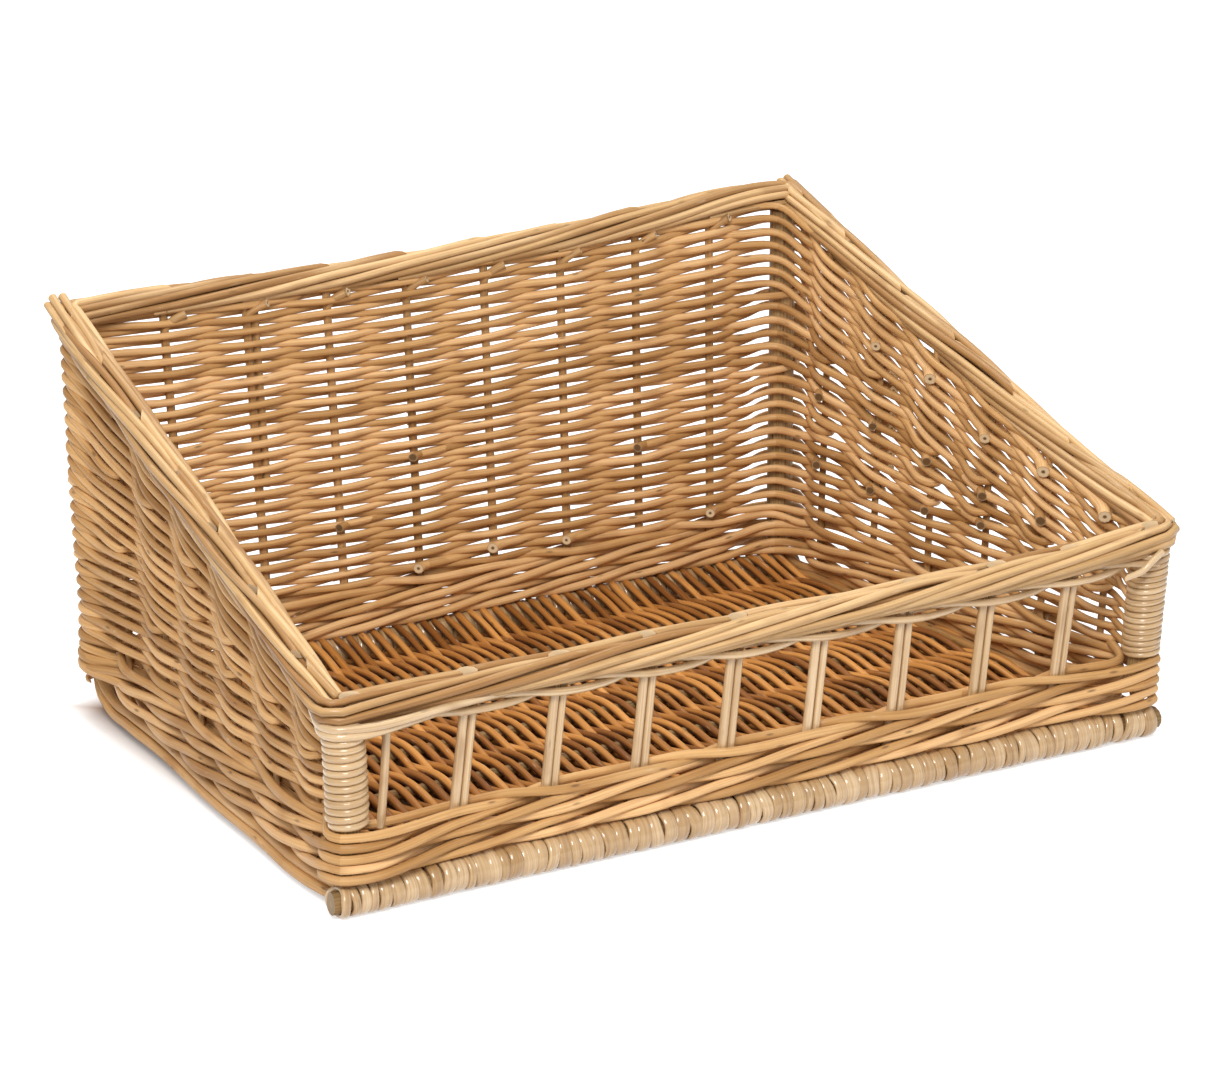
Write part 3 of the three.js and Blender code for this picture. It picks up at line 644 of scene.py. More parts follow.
class Rows:
    """The rows of the three woven walls: which uprights each reaches, and its height there."""

    def __init__(self, weave):
        self.weave = weave
        self.uprights = wall_uprights(weave)
        self.bottom = span_of("wale_front")[1][2]
        back_top = span_of("weave_back")[1][2] + 8 * MM
        front_top = min(self.uprights[0].high[2], span_of("border_front")[0][2]) + 6 * MM
        left = turning_uprights("left")
        right = turning_uprights("right")
        self.reach = []
        for row in range(weave.rows):
            pair = (row - weave.bottom_rows) // 2
            if 0 <= pair < len(left) and row >= weave.bottom_rows:
                self.reach.append((LEFT_CORNER - left[pair], RIGHT_CORNER + right[pair]))
            else:
                self.reach.append((0, LAST_UPRIGHT))
        front_y = self.uprights[0].low[1]
        back_y = self.uprights[LEFT_CORNER].high[1]
        self.room = []
        self.heights = []
        self.between_heights = []
        tops = []
        for index, upright in enumerate(self.uprights):
            share = np.clip((upright.low[1] - front_y) / (back_y - front_y), 0.0, 1.0)
            top = front_top + (back_top - front_top) * share
            tops.append(back_top if LEFT_CORNER <= index <= RIGHT_CORNER else top)
        for index, top in enumerate(tops):
            weights = []
            for first, last in self.reach:
                turning = index in (first, last) and index not in (0, LAST_UPRIGHT)
                weights.append((TIGHT_TURN if turning else 1.0) if first <= index <= last else 0.0)
            room, heights = self.stacked(weights, top)
            self.room.append(room)
            self.heights.append(heights)
        for index in range(LAST_UPRIGHT):
            weights = []
            for first, last in self.reach:
                ends = (first <= index <= last) + (first <= index + 1 <= last)
                weights.append((0.0, CLOSING_TURN, 1.0)[ends])
            self.between_heights.append(self.stacked(weights, (tops[index] + tops[index + 1]) / 2)[1])

    def stacked(self, weights, top):
        """The room of one row and the height of each, where rows of these weights fill a wall to its top."""
        room = (top - self.bottom) / sum(weights)
        return room, self.bottom + (np.cumsum(weights) - np.array(weights) / 2) * room

    def side(self, row, index):
        """Whether a row passes an upright outside (1) or inside (-1)."""
        return 1 if (row + index) % 2 else -1

    def rod(self, index):
        """Half the thickness of a rod at an upright."""
        fuller = 1.0 if index <= LEFT_CORNER else 0.95
        if index >= RIGHT_CORNER:
            fuller = 0.9 if index == RIGHT_CORNER else 1.05
        return self.room[index] * self.weave.thickness / 2 * fuller

    def passing(self, row, index, backwards):
        """The places of a row where it passes an upright."""
        upright = self.uprights[index]
        height = self.heights[index][row]
        side, reach = self.side(row, index), self.rod(index) * ROD_DEPTH
        if index == LEFT_CORNER and side < 0:
            side, reach = 1, reach - CORNER_RECESS
        places = upright.passed(side, reach, height, index, backwards)
        return [(*self.raised(point, height, index, row), station, index) for point, station in places]

    def raised(self, point, height, index, row):
        """A place with its height set, with the slow wander that all rows share."""
        along = index * 0.9 + row * 0.05
        wander = 0.9 * MM * math.sin(along * 1.7 + 0.6) * math.sin(row * 0.14 + 0.3)
        edge = min(1.0, row / 6, (self.weave.rows - 1 - row) / 6)
        return point[0], point[1], height + wander * edge

    def between(self, before, after, row):
        """The place half way to the next upright, where the rows cross."""
        bay = int(min(round(before[3]), round(after[3])))
        height = self.between_heights[bay][row]
        place = self.raised(((before[0] + after[0]) / 2, (before[1] + after[1]) / 2), height, bay + 0.5, row)
        return (*place, bay + 0.5, after[4])

    def course(self, row, first, last):
        """A row from one upright to another, in either direction."""
        step = 1 if last >= first else -1
        controls = []
        for index in range(first, last + step, step):
            here = self.passing(row, index, step < 0)
            if controls:
                controls.append(self.between(controls[-1], here[0], row))
            controls += here
        return controls

    def joined(self, runs):
        """Runs of a rod put end to end, with a place half way between each and the next."""
        controls = list(runs[0][0])
        for run, row in runs[1:]:
            controls.append(self.between(controls[-1], run[0], row))
            controls += run
        return controls

    def turning(self, row, index, ahead):
        """The bend of a rod that turns back round an upright, from this row up to the next."""
        upright = self.uprights[index]
        rod = self.rod(index)
        outward = upright.outward
        if index in (LEFT_CORNER, RIGHT_CORNER):
            outward = BACK_OUT
        lead = np.cross(outward, UP) * ahead
        reach = upright.radius * (1 + upright.depth) / 2 + rod * ROD_DEPTH
        low, high = self.heights[index][row], self.heights[index][row + 1]
        bends = []
        for angle in (0, 45, 90, 135, 180):
            height = low + (high - low) * angle / 180
            turn = math.radians(angle)
            side = outward * self.side(row, index) * math.cos(turn) + lead * math.sin(turn)
            point = upright.at(height) + side * reach
            bends.append((*self.raised(point, height, index, row), index, index))
        return bends


# Pieces

def wall_name(station):
    """Which wall a place between uprights belongs to."""
    if station < LEFT_CORNER:
        return "left"
    return "back" if station <= RIGHT_CORNER else "right"


# The tone of a wall's darkest rod, and how much paler its palest one is
WALL_TONES = {"left": (0.0, 0.72), "back": (0.25, 0.75)}


def split_rod(bundles, rings, places, stations, corners, name_of, tone):
    """Shares out one long rod among the walls that it runs along, cut at the corner posts."""
    marks = [0]
    for i in range(1, len(rings) - 1):
        if any(abs(stations[i] - corner) < 1e-6 for corner in corners) and i - marks[-1] > 1:
            marks.append(i)
    marks.append(len(rings) - 1)
    for first, last in zip(marks, marks[1:]):
        wall = name_of(float(np.mean(stations[first:last + 1])))
        darkest, spread = WALL_TONES.get(wall, (0.0, 1.0))
        bundles[wall].tube(rings[first:last + 1], places[first:last + 1], darkest + spread * tone)


def follow(table, uprights, step):
    """A smooth path through a table of places, and at each of its points the control, station and way out."""
    path, knots = smooth_path(table[:, :3], step)
    numbers = np.arange(len(table))
    stations = np.interp(knots, numbers, table[:, 3])
    outward = np.array([uprights[int(number) % len(uprights)].outward for number in table[:, 4]])
    lean = np.stack([np.interp(knots, numbers, outward[:, axis]) for axis in range(3)], axis=1)
    return path, knots, stations, lean


def far_side(index):
    """The side of a wall that the rod ends are kept on: inside on the left, outside on the back and right."""
    return -1 if index < LEFT_CORNER else 1


def may_join(rows, table, i):
    """Whether a rod may end at a place: at a stake, between two crossings, on the side that hides its end."""
    number = int(table[i, 4])
    if number in CORNERS or table[i, 3] % 1 != 0:
        return False
    if table[i - 1, 3] % 1 != 0.5 or table[i + 1, 3] % 1 != 0.5:
        return False
    upright = rows.uprights[number]
    return np.dot(table[i, :3] - upright.at(table[i, 2]), upright.outward) * far_side(number) > 0


def lay_row(bundles, rows, controls, chance, closed):
    """Weaves one row, or a pair of rows that turns back on itself, from rods laid end to end."""
    table = np.array(controls)
    table[:, 2] += [chance.gauss(0, 0.28) * MM for _ in range(len(table))]
    path, knots, stations, lean = follow(table, rows.uprights, rows.weave.step)
    radii = np.interp(knots, np.arange(len(table)), [rows.rod(int(number)) for number in table[:, 4]])
    last = len(table) - 1
    joins = [0.0]
    while True:
        wish = int(joins[-1] + chance.uniform(20, 34))
        options = [i for i in range(wish - 4, wish + 8) if i < last - 10 and may_join(rows, table, i)]
        if not options:
            break
        joins.append(float(chance.choice(options)))
    joins.append(float(last))
    for number, (start, end) in enumerate(zip(joins, joins[1:])):
        free_start = number > 0 or closed
        free_end = end < last or closed
        low = start - (0.3 if number > 0 else 0.0)
        high = end + (0.2 if end < last else 0.0)
        chosen = (knots >= low - 1e-9) & (knots <= high + 1e-9)
        run = path[chosen].copy()
        along = distance_along(run)
        share = along / along[-1]
        taper = chance.uniform(0.94, 1.05) * (1.05 - 0.14 * share)
        thickness = radii[chosen] * taper
        if free_start:
            near = (1 - ease(along / (26 * MM))) * far_side(int(table[int(start), 4]))
            run += lean[chosen] * (near * radii[chosen] * 1.1)[:, None]
            thickness = thickness * (1 + 0.15 * np.exp(-along / (30 * MM)))
        if free_end:
            thickness = thickness * (1 - 0.35 * np.exp(-(along[-1] - along) / (25 * MM)))
        tone = chance.random()
        thickness = thickness * swell(len(run), chance)
        slants = (0.5 * free_start, 0.9 * free_end)
        rings, places = rings_round(
            run, thickness, UP, deep=ROD_DEPTH, slants=slants, start=chance.random() * GRAIN_RANGE
        )
        split_rod(bundles, rings, places, stations[chosen], (LEFT_CORNER, RIGHT_CORNER), wall_name, tone)


# Thick rod ends inside the walls: place along the wall, height and radius in millimetres, and tone
BUTTS = {
    "right": (
        (-160, 147, 4.2, 0.9), (-100, 156, 4.2, 0.8), (-40, 163, 3.9, 0.7), (22, 183, 4.2, 0.9),
        (81, 195, 3.4, 0.5), (26, 125, 3.2, 0.1), (29, 99, 3.0, 0.0), (-41, 120, 3.2, 0.1),
        (-101, 119, 3.4, 0.2), (-43, 104, 3.0, 0.0), (86, 138, 3.0, 0.1), (123, 148, 3.2, 0.2),
        (126, 98, 3.0, 0.1), (87, 93, 3.0, 0.0),
    ),
    "back": (
        (-25, 62, 3.4, 0.6), (25, 61, 3.6, 0.7), (71, 62, 3.4, 0.6), (185, 60, 3.2, 0.5),
        (-25, 141, 2.8, 0.1), (-85, 96, 2.8, 0.1), (140, 118, 2.9, 0.2),
    ),
}
THIN_START = 2.4 * MM
PALE_BUTT = 0.4


def lay_butts(bundle, rows, wall, chance):
    """The thick cut ends of rods that come round a stake to the inside of a wall."""
    if wall == "back":
        axis, behind, indices = 0, 1, range(LEFT_CORNER + 1, RIGHT_CORNER)
    else:
        axis, behind, indices = 1, -1, range(RIGHT_CORNER + 1, LAST_UPRIGHT)
    for along, height, radius, tone in BUTTS[wall]:
        index = min(indices, key=lambda i: abs(rows.uprights[i].at(height * MM)[axis] - along * MM))
        inside = [
            row for row, (first, last) in enumerate(rows.reach)
            if first < index < last and rows.side(row, index) < 0
        ]
        row = min(inside, key=lambda r: abs(rows.heights[index][r] - height * MM))
        table = np.array([place[:3] for place in rows.course(row, index + behind, index)])
        inward = -rows.uprights[index].outward
        ahead = table[-1] - table[-2]
        ahead /= np.linalg.norm(ahead)
        table[-1] += inward * 0.6 * MM
        table = np.vstack([table, table[-1] + ahead * 5 * MM + inward * 2.6 * MM])
        path, _ = smooth_path(table, rows.weave.step)
        thickness = np.linspace(THIN_START, radius * MM, len(path))
        slants = (0.0, chance.uniform(0.0, 0.4) * -behind)
        cut_look = FRESH_CUT if tone > PALE_BUTT else OLD_CUT
        lay_rod(bundle, path, thickness, chance, sides=10, tone=tone, slants=slants, cut_look=cut_look)


class WILLOW_OT_walls(bpy.types.Operator):
    """Weaves the back wall and the two side walls, one rod over and one under"""

    bl_idname = "willow.walls"
    bl_label = "Woven walls"

    def execute(self, context):
        weave = context.scene.willow_weave
        rows = Rows(weave)
        chance = random.Random(4)
        bundles = {wall: Bundle() for wall in ("left", "back", "right")}
        row = 0
        while row < weave.rows:
            first, last = rows.reach[row]
            if (first, last) == (0, LAST_UPRIGHT):
                lay_row(bundles, rows, rows.course(row, first, last), chance, False)
                row += 1
                continue
            start = chance.choice([i for i in range(9, 15) if rows.side(row, i) > 0])
            controls = rows.joined([
                (rows.course(row, start, last - 1), row),
                (rows.turning(row, last, 1), row),
                (rows.course(row + 1, last - 1, first + 1), row + 1),
                (rows.turning(row, first, -1)[::-1], row + 1),
                (rows.course(row, first + 1, start), row),
            ])
            lay_row(bundles, rows, controls, chance, True)
            row += 2
        for wall in BUTTS:
            lay_butts(bundles[wall], rows, wall, chance)
        for wall, bundle in bundles.items():
            make_piece("woven_wall_" + wall, bundle, "weaver", "weave_" + wall)
        return {"FINISHED"}


# The tip of a back stake, bent in under the border, from a little below its end, in millimetres
TIP_BEND = ((0, 0, -9), (1.0, -1.5, -3), (5.0, -4.0, 1.0), (13, -5.5, 4.5))


class WILLOW_OT_stakes(bpy.types.Operator):
    """Sets the wall stakes and the four corner posts"""

    bl_idname = "willow.stakes"
    bl_label = "Stakes and posts"

    def execute(self, context):
        weave = context.scene.willow_weave
        chance = random.Random(11)
        for upright in wall_uprights(weave):
            post = upright.node.startswith("corner")
            bundle = Bundle()
            steps = max(8, int((upright.high[2] - upright.low[2]) / (8 * MM)))
            heights = np.linspace(upright.low[2], upright.high[2] + 8 * MM, steps)
            path = np.array([upright.at(height) for height in heights])
            taper = np.linspace(1.0, 0.94, steps)
            if post:
                taper = taper * np.clip(0.5 + (heights - heights[0]) / (40 * MM), 0.5, 1.0)
            along_wall = np.cross(UP, upright.outward)
            lay_rod(
                bundle, path, upright.radius * taper, chance, along_wall, 12 if post else 8,
                tone=1.0 if post else None, deep=upright.depth, uneven=0.015,
            )
            if upright.node.startswith("back_stake"):
                top = upright.at(upright.high[2] - 2 * MM)
                tip, _ = smooth_path(top + np.array(TIP_BEND) * MM, weave.step * 0.4)
                thickness = upright.radius * np.linspace(0.80, 0.95, len(tip))
                slants = (0.0, chance.uniform(0.2, 1.2))
                lay_rod(bundle, tip, thickness, chance, sides=10, tone=0.9, slants=slants)
            if upright.node == "back_stake_7":
                beside = path[heights > 131 * MM] + RIGHT * upright.radius * 1.9
                thickness = upright.radius * 0.9
                lay_rod(bundle, beside, thickness, chance, along_wall, deep=upright.depth, slants=(1.2, 0))
            name = upright.node.replace("corner_post", "post") + "_rod"
            make_piece(name, bundle, "bark" if post else "stake", upright.node)
        return {"FINISHED"}


class WILLOW_OT_front_rods(bpy.types.Operator):
    """Sets the pairs of rods and the lone rod that bar the front"""

    bl_idname = "willow.front_rods"
    bl_label = "Front rods"

    def execute(self, context):
        weave = context.scene.willow_weave
        chance = random.Random(21)
        steps = 16
        for number in range(1, 9):
            node = f"front_stake_pair_{number}"
            pair = Upright(node, weave.pair / 2, [FRONT_OUT])
            bundle = Bundle()
            thick, thin = weave.pair / 2, weave.thin / 2
            heights = np.linspace(pair.low[2], pair.high[2] + 6 * MM, steps)
            middle = np.array([pair.at(height) for height in heights])
            bow = np.sin(np.linspace(0, math.pi, steps)) * chance.uniform(-0.5, 0.5) * MM
            spread = chance.uniform(0.0, 0.5) * MM
            for shift, radius in ((-thin - spread, thick), (thick + spread, thin)):
                path = middle + RIGHT * (shift + bow)[:, None]
                thickness = radius * np.linspace(1.03, 0.97, steps)
                lay_rod(bundle, path, thickness, chance, RIGHT, 10, tone=chance.uniform(0.45, 1.0))
            make_piece(f"front_rod_pair_{number}", bundle, "straw", node)
        lone = Upright("front_lone_rod", weave.pair / 2, [FRONT_OUT])
        heights = np.linspace(lone.low[2] - 5 * MM, lone.high[2], steps)
        path = np.array([lone.at(height) for height in heights])
        path = path - RIGHT * np.linspace(0, 3.0 * MM, steps)[:, None]
        bundle = Bundle()
        lay_rod(bundle, path, weave.thin / 2 * 1.06, chance, RIGHT, 10, tone=0.7)
        make_piece("front_rod_lone", bundle, "straw", "front_lone_rod")
        return {"FINISHED"}


# Where the posts come in the walk round the whole basket from the left back post, and the walls after each
WALE_CORNERS = (0, 9, 16, 25, 32)
WALE_WALLS = ("back", "right", "front", "left")

# Where no rod of the wale ends
NEAR_CORNERS = (0, 1, 9, 16, 25, 31)


def wale_uprights(weave):
    """Posts and stakes all the way round, from the left back post clockwise."""
    walls = wall_uprights(weave)
    front_right = Upright(POSTS[3], weave.front_post / 2, [RIGHT_OUT, FRONT_OUT])
    front_left = Upright(POSTS[0], weave.front_post / 2, [FRONT_OUT, LEFT_OUT])
    pairs = [Upright(f"front_stake_pair_{i}", weave.pair / 2, [FRONT_OUT]) for i in range(8, 0, -1)]
    return [*walls[LEFT_CORNER:LAST_UPRIGHT], front_right, *pairs, front_left, *walls[1:LEFT_CORNER]]


def wale_wall(station):
    """Which wall of the wale a place belongs to."""
    return WALE_WALLS[sum(station % WALE_CORNERS[4] >= corner for corner in WALE_CORNERS[1:4])]


def lay_wale_rods(bundles, uprights, controls, rod, step, strand, chance):
    """Works one strand of the wale from rods laid end to end."""
    count = len(uprights)
    table = np.array(controls)
    whole = int(table[-1, 4])
    path, _, stations, lean = follow(table, uprights, step)
    joins = [0.0]
    while joins[-1] < whole - 27:
        wish = int(joins[-1] + chance.uniform(11, 19))
        joins.append(float(next(
            number for number in range(wish, wish + 12)
            if (number + strand) % 4 == (0 if number % count < WALE_CORNERS[2] else 2)
            and number % count not in NEAR_CORNERS
        )))
    joins.append(float(whole))
    for start, end in zip(joins, joins[1:]):
        chosen = (stations >= start - 0.2) & (stations <= end + 0.13)
        run = path[chosen].copy()
        along = distance_along(run)
        share = along / along[-1]
        thickness = rod * chance.uniform(0.97, 1.05) * (1.04 - 0.12 * share)
        if start > 0:
            hidden = 1 if start % count < WALE_CORNERS[2] else -1
            near = (1 - ease(along / (30 * MM))) * hidden
            run += lean[chosen] * (near * rod * 0.8)[:, None]
            thickness = thickness * (1 + 0.1 * np.exp(-along / (30 * MM)))
        for tucked, from_end in ((start == 0, along), (end == whole, along[-1] - along)):
            if tucked:
                fade = np.exp(-from_end / (8 * MM))
                run -= lean[chosen] * (fade * 4 * MM)[:, None]
                thickness = thickness * (1 - 0.85 * fade)
        thickness = thickness * swell(len(run), chance)
        start_of_grain = chance.random() * GRAIN_RANGE
        rings, places = rings_round(run, thickness, UP, 10, 0.9, (0.6, 1.0), start_of_grain)
        split_rod(bundles, rings, places, stations[chosen] % count, WALE_CORNERS, wale_wall, chance.random())


class WILLOW_OT_wale(bpy.types.Operator):
    """Works the lower wale: four rods at a time, each outside two stakes and inside the next two"""

    bl_idname = "willow.wale"
    bl_label = "Lower wale"

    def execute(self, context):
        weave = context.scene.willow_weave
        border = context.scene.willow_border
        uprights = wale_uprights(weave)
        count = len(uprights)
        low, high = span_of("wale_back")
        round_height = (high[2] - low[2]) / (border.wale_rounds + 0.5)
        rod = border.wale / 2
        chance = random.Random(31)
        bundles = {wall: Bundle() for wall in WALE_WALLS}
        for strand in range(4):
            controls = []
            for number in range(border.wale_rounds * count + 1):
                upright = uprights[number % count]
                phase = (number + strand) % 4
                lap, station = divmod(number, count)
                climb = ease((station - count + 2) / 2)
                if lap == border.wale_rounds:
                    lap, climb = lap - 1, 1.0
                if lap == border.wale_rounds - 1:
                    climb = 0.0
                level = low[2] + round_height * (lap + 0.5 + climb)
                height = level + (0.25, -0.25, -0.25, 0.25)[phase] * round_height + chance.gauss(0, 0.3) * MM
                side = 1 if phase < 2 else -1
                for point, place in upright.passed(side, rod * 0.9, height, number):
                    controls.append((point[0], point[1], height, place, number))
            lay_wale_rods(bundles, uprights, controls, rod, weave.step, strand, chance)
        height = high[2] - round_height / 4
        for strand in (0, 2):
            controls = []
            for number in range(count + 1):
                phase = (number + strand) % 4
                side = 1 if phase < 2 else -1
                for point, place in uprights[number % count].passed(side, rod * 0.9, height, number):
                    controls.append((point[0], point[1], height, place, number))
                if phase % 2 and number < count:
                    ahead = uprights[(number + 1) % count].passed(-side, rod * 0.9, height, number)[0][0]
                    lift = rod * (0.8 if side > 0 else -0.8)
                    middle = (np.array(controls[-1][:2]) + ahead[:2]) / 2
                    controls.append((middle[0], middle[1], height + lift, number + 0.5, number))
            lay_wale_rods(bundles, uprights, controls, rod, weave.step, strand, chance)
        for wall, bundle in bundles.items():
            make_piece("lower_wale_" + wall, bundle, "weaver", "wale_" + wall)
        return {"FINISHED"}


# The rise of one turn as a share of the rod's thickness, and the steps in it
TURN_PITCH = 0.985
TURN_STEPS = 22


class WILLOW_OT_windings(bpy.types.Operator):
    """Winds a thin rod round each front post above the wale"""

    bl_idname = "willow.windings"
    bl_label = "Post windings"

    def execute(self, context):
        weave = context.scene.willow_weave
        border = context.scene.willow_border
        chance = random.Random(41)
        for side in ("left", "right"):
            node = "post_winding_front_" + side
            post = Upright("corner_post_front_" + side, weave.front_post / 2, [FRONT_OUT])
            low, high = span_of(node)
            rod = (border.winding if side == "left" else border.fine_winding) / 2
            low[2] -= 2.5 * MM
            high[2] += 8.0 * MM
            turns = (high[2] - low[2] - 2 * rod) / (2 * rod * TURN_PITCH)
            steps = int(turns * TURN_STEPS)
            angles = np.linspace(0, turns * 2 * math.pi, steps)
            heights = np.linspace(low[2] + rod, high[2] - rod, steps)
            heights = heights + np.sin(angles * 0.5 + 1) * 0.25 * MM
            from_end = np.minimum(angles, angles[-1] - angles) / (2 * math.pi)
            tucked = (1 - ease(from_end / 1.1)) * rod * 1.3
            reach = weave.front_post / 2 + border.winding / 2 + 0.4 * MM
            reach = reach + np.sin(angles * 0.37) * 0.2 * MM - tucked
            middle = np.array([post.at(height) for height in heights])
            path = middle + RIGHT * (np.cos(angles) * reach)[:, None]
            path += BACK * (np.sin(angles) * reach)[:, None]
            bundle = Bundle()
            cuts = [0, int(steps * chance.uniform(0.4, 0.6)), steps - 1]
            for first, last in zip(cuts, cuts[1:]):
                tone = chance.uniform(0.3, 1.0)
                lay_rod(bundle, path[first:last + 1], rod, chance, sides=10, tone=tone, uneven=0.012)
            make_piece("winding_front_" + side, bundle, "straw", node)
        return {"FINISHED"}


# The two rods that come in over the left post: how far above the fitch, behind the post and along the front,
# and the rod that loops over the right post, all in millimetres
LEFT_RODS = ((1.2, 14, 76), (5.6, 20, 136))
RIGHT_LOOP = ((-1, -13.5, 8), (-9, -16, 5), (-16, -15.5, 0), (-25, -13.5, -2.5))


class WILLOW_OT_fitch(bpy.types.Operator):
    """Twists two rods round the front rods just under the border"""

    bl_idname = "willow.fitch"
    bl_label = "Front fitch"

    def execute(self, context):
        weave = context.scene.willow_weave
        border = context.scene.willow_border
        chance = random.Random(51)
        low, high = span_of("front_fitch")
        height = (low[2] + high[2]) / 2
        rod = border.fitch / 2
        uprights = [Upright(POSTS[0], weave.front_post / 2, [FRONT_OUT])]
        uprights += [Upright(f"front_stake_pair_{i}", weave.pair / 2, [FRONT_OUT]) for i in range(1, 9)]
        uprights += [Upright(POSTS[3], weave.front_post / 2, [FRONT_OUT])]
        bundle = Bundle()
        for strand in (0, 1):
            controls = []
            for index, upright in enumerate(uprights):
                side = 1 if (index + strand) % 2 else -1
                middle = upright.at(height)
                point = middle + FRONT_OUT * side * (upright.radius + rod)
                dip = -0.6 * MM if side > 0 else 0.4 * MM
                controls.append((point[0], point[1], height + dip))
                if index < len(uprights) - 1:
                    between = (middle + uprights[index + 1].at(height)) / 2
                    lift = rod * (1 if strand == index % 2 else -1)
                    controls.append((between[0], between[1], height + lift))
            path, _ = smooth_path(controls, weave.step * 0.8)
            thickness = rod * np.linspace(1.02, 0.92, len(path))
            lay_rod(bundle, path, thickness, chance, sides=10, tone=0.9 if strand else 0.65)
        left = Upright(POSTS[0], weave.front_post / 2 + 2 * MM, [LEFT_OUT, FRONT_OUT])
        for lift, back_reach, front_reach in LEFT_RODS:
            level = height + lift * MM
            turn = [point for point, _ in left.passed(1, rod, level, 0)]
            start = turn[0] + BACK * back_reach * MM + RIGHT * 4 * MM + UP * back_reach * 0.2 * MM
            middle = turn[-1] + RIGHT * front_reach * 0.5 * MM + BACK * 1.2 * MM + UP * 1.6 * MM
            end = turn[-1] + RIGHT * front_reach * MM + BACK * 17 * MM - UP * 1.0 * MM
            path, _ = smooth_path([start, *turn, middle, end], weave.step * 0.7)
            thickness = rod * np.linspace(1.1, 0.95, len(path))
            lay_rod(bundle, path, thickness, chance, sides=10, tone=0.95, slants=(0.0, 1.2))
        right = Upright(POSTS[3], weave.front_post / 2, [FRONT_OUT])
        path, _ = smooth_path(right.at(height) + np.array(RIGHT_LOOP) * MM, weave.step * 0.5)
        thickness = rod * np.linspace(0.95, 0.75, len(path))
        lay_rod(bundle, path, thickness, chance, sides=10, tone=1.0, slants=(0.0, 1.4))
        make_piece("front_fitching", bundle, "straw", "front_fitch")
        return {"FINISHED"}


class Rim:
    """The middle line of the border, with its directions, as a function of the distance round it."""

    def __init__(self):
        radius = 5 * MM
        front = span_of("border_front")
        back = span_of("border_back")
        width = front[1][1] - front[0][1]
        corners = []
        for box, side in ((front, -1), (front, 1), (back, 1), (back, -1)):
            edge = box[1][0] if side > 0 else box[0][0]
            middle = (box[0] + box[1]) / 2
            corners.append(np.array((edge - side * width / 2, middle[1], middle[2])))
        self.half_width = width / 2
        self.corner_points = corners
        self.half_height = (front[1][2] - front[0][2]) / 2
        controls = []
        for i, corner in enumerate(corners):
            before = corners[i - 1] - corner
            after = corners[(i + 1) % 4] - corner
            before /= np.linalg.norm(before)
            after /= np.linalg.norm(after)
            for share in np.linspace(0, 1, 7):
                a = corner + before * radius * (1 - share)
                b = corner + after * radius * share
                controls.append(a + (b - a) * share)
        line = []
        for i in range(len(controls)):
            start, end = controls[i], controls[(i + 1) % len(controls)]
            pieces = max(1, int(np.linalg.norm(end - start) / (4 * MM)))
            for k in range(pieces):
                line.append(start + (end - start) * k / pieces)
        line = np.array(line)
        closed = np.vstack([line, line[:1]])
        self.marks = distance_along(closed)
        self.total = self.marks[-1]
        self.line = closed
        tangents = np.roll(line, -2, axis=0) - np.roll(line, 2, axis=0)
        tangents /= np.linalg.norm(tangents, axis=1)[:, None]
        out = np.cross(tangents, UP)
        out /= np.linalg.norm(out, axis=1)[:, None]
        top = np.cross(out, tangents)
        self.out = np.vstack([out, out[:1]])
        self.top = np.vstack([top, top[:1]])

    def stops(self, uprights):
        """The distances round the rim at which these uprights end, in order."""
        nearest = [np.argmin(np.linalg.norm(self.line - upright.high, axis=1)) for upright in uprights]
        return sorted(float(self.marks[number]) for number in nearest)

    def read(self, table, distance):
        """A row of one of the rim's tables at each distance round it."""
        place = np.mod(distance, self.total)
        return np.stack([np.interp(place, self.marks, table[:, axis]) for axis in range(3)], axis=1)

    def place(self, distance, angle, depth=1.0, rod=0.0):
        """Places on the border's section: an angle from outward over the top, and a share of the way out."""
        middle = self.read(self.line, distance)
        out = self.read(self.out, distance)
        top = self.read(self.top, distance)
        level = np.cos(angle) * (self.half_width - rod) * depth
        rise = np.sin(angle) * (self.half_height - rod) * depth
        return middle + out * level[:, None] + top * rise[:, None]

    def side_at(self, distance):
        """Which of the four border pieces a distance round the rim belongs to."""
        point = self.read(self.line, np.array([distance]))[0]
        front = span_of("border_front")
        back = span_of("border_back")
        if point[1] < front[1][1] - 6 * MM and abs(point[0]) < front[1][0] - 14 * MM:
            return "front"
        if point[1] > back[0][1] + 6 * MM and abs(point[0]) < back[1][0] - 14 * MM:
            return "back"
        return "right" if point[0] > 0 else "left"


# Rods that run on past a corner: the corner, their side, how far back they start in millimetres, and for each
# its angle on the border's section, its depth and how far its cut end stands out past the corner's middle
FRONT_LEFT, FRONT_RIGHT, BACK_RIGHT, BACK_LEFT = range(4)
CORNER_RODS = (
    (BACK_LEFT, "left", 75, ((22, 1.0, 8), (58, 1.04, 10.5), (96, 1.04, 8.5))),
    (BACK_RIGHT, "right", 70, ((34, 1.0, 8), (76, 1.04, 10), (116, 1.04, 7))),
    (FRONT_RIGHT, "right", 90, ((52, 1.05, -2), (112, 1.08, -7))),
)


# How a border rod runs, counted in uprights from its start: its angle on the border's section and its depth
TOP_COURSE = (
    (0.0, 84, 1.03), (0.4, 98, 1.05), (1.2, 130, 1.0), (2.2, 168, 1.0), (3.2, 204, 1.0), (4.0, 228, 1.1),
)
OUTER_COURSE = (
    (0.0, -118, 0.7), (0.2, -98, 1.1), (0.5, -84, 1.12), (1.5, -48, 1.02),
    (2.5, -6, 1.0), (3.5, 36, 1.0), (4.3, 72, 0.96), (4.9, 88, 0.55),
)
COURSE_STEPS = 12


def any_phase(chance):
    """A random place in a wave, in radians."""
    return chance.uniform(0, 6.28)


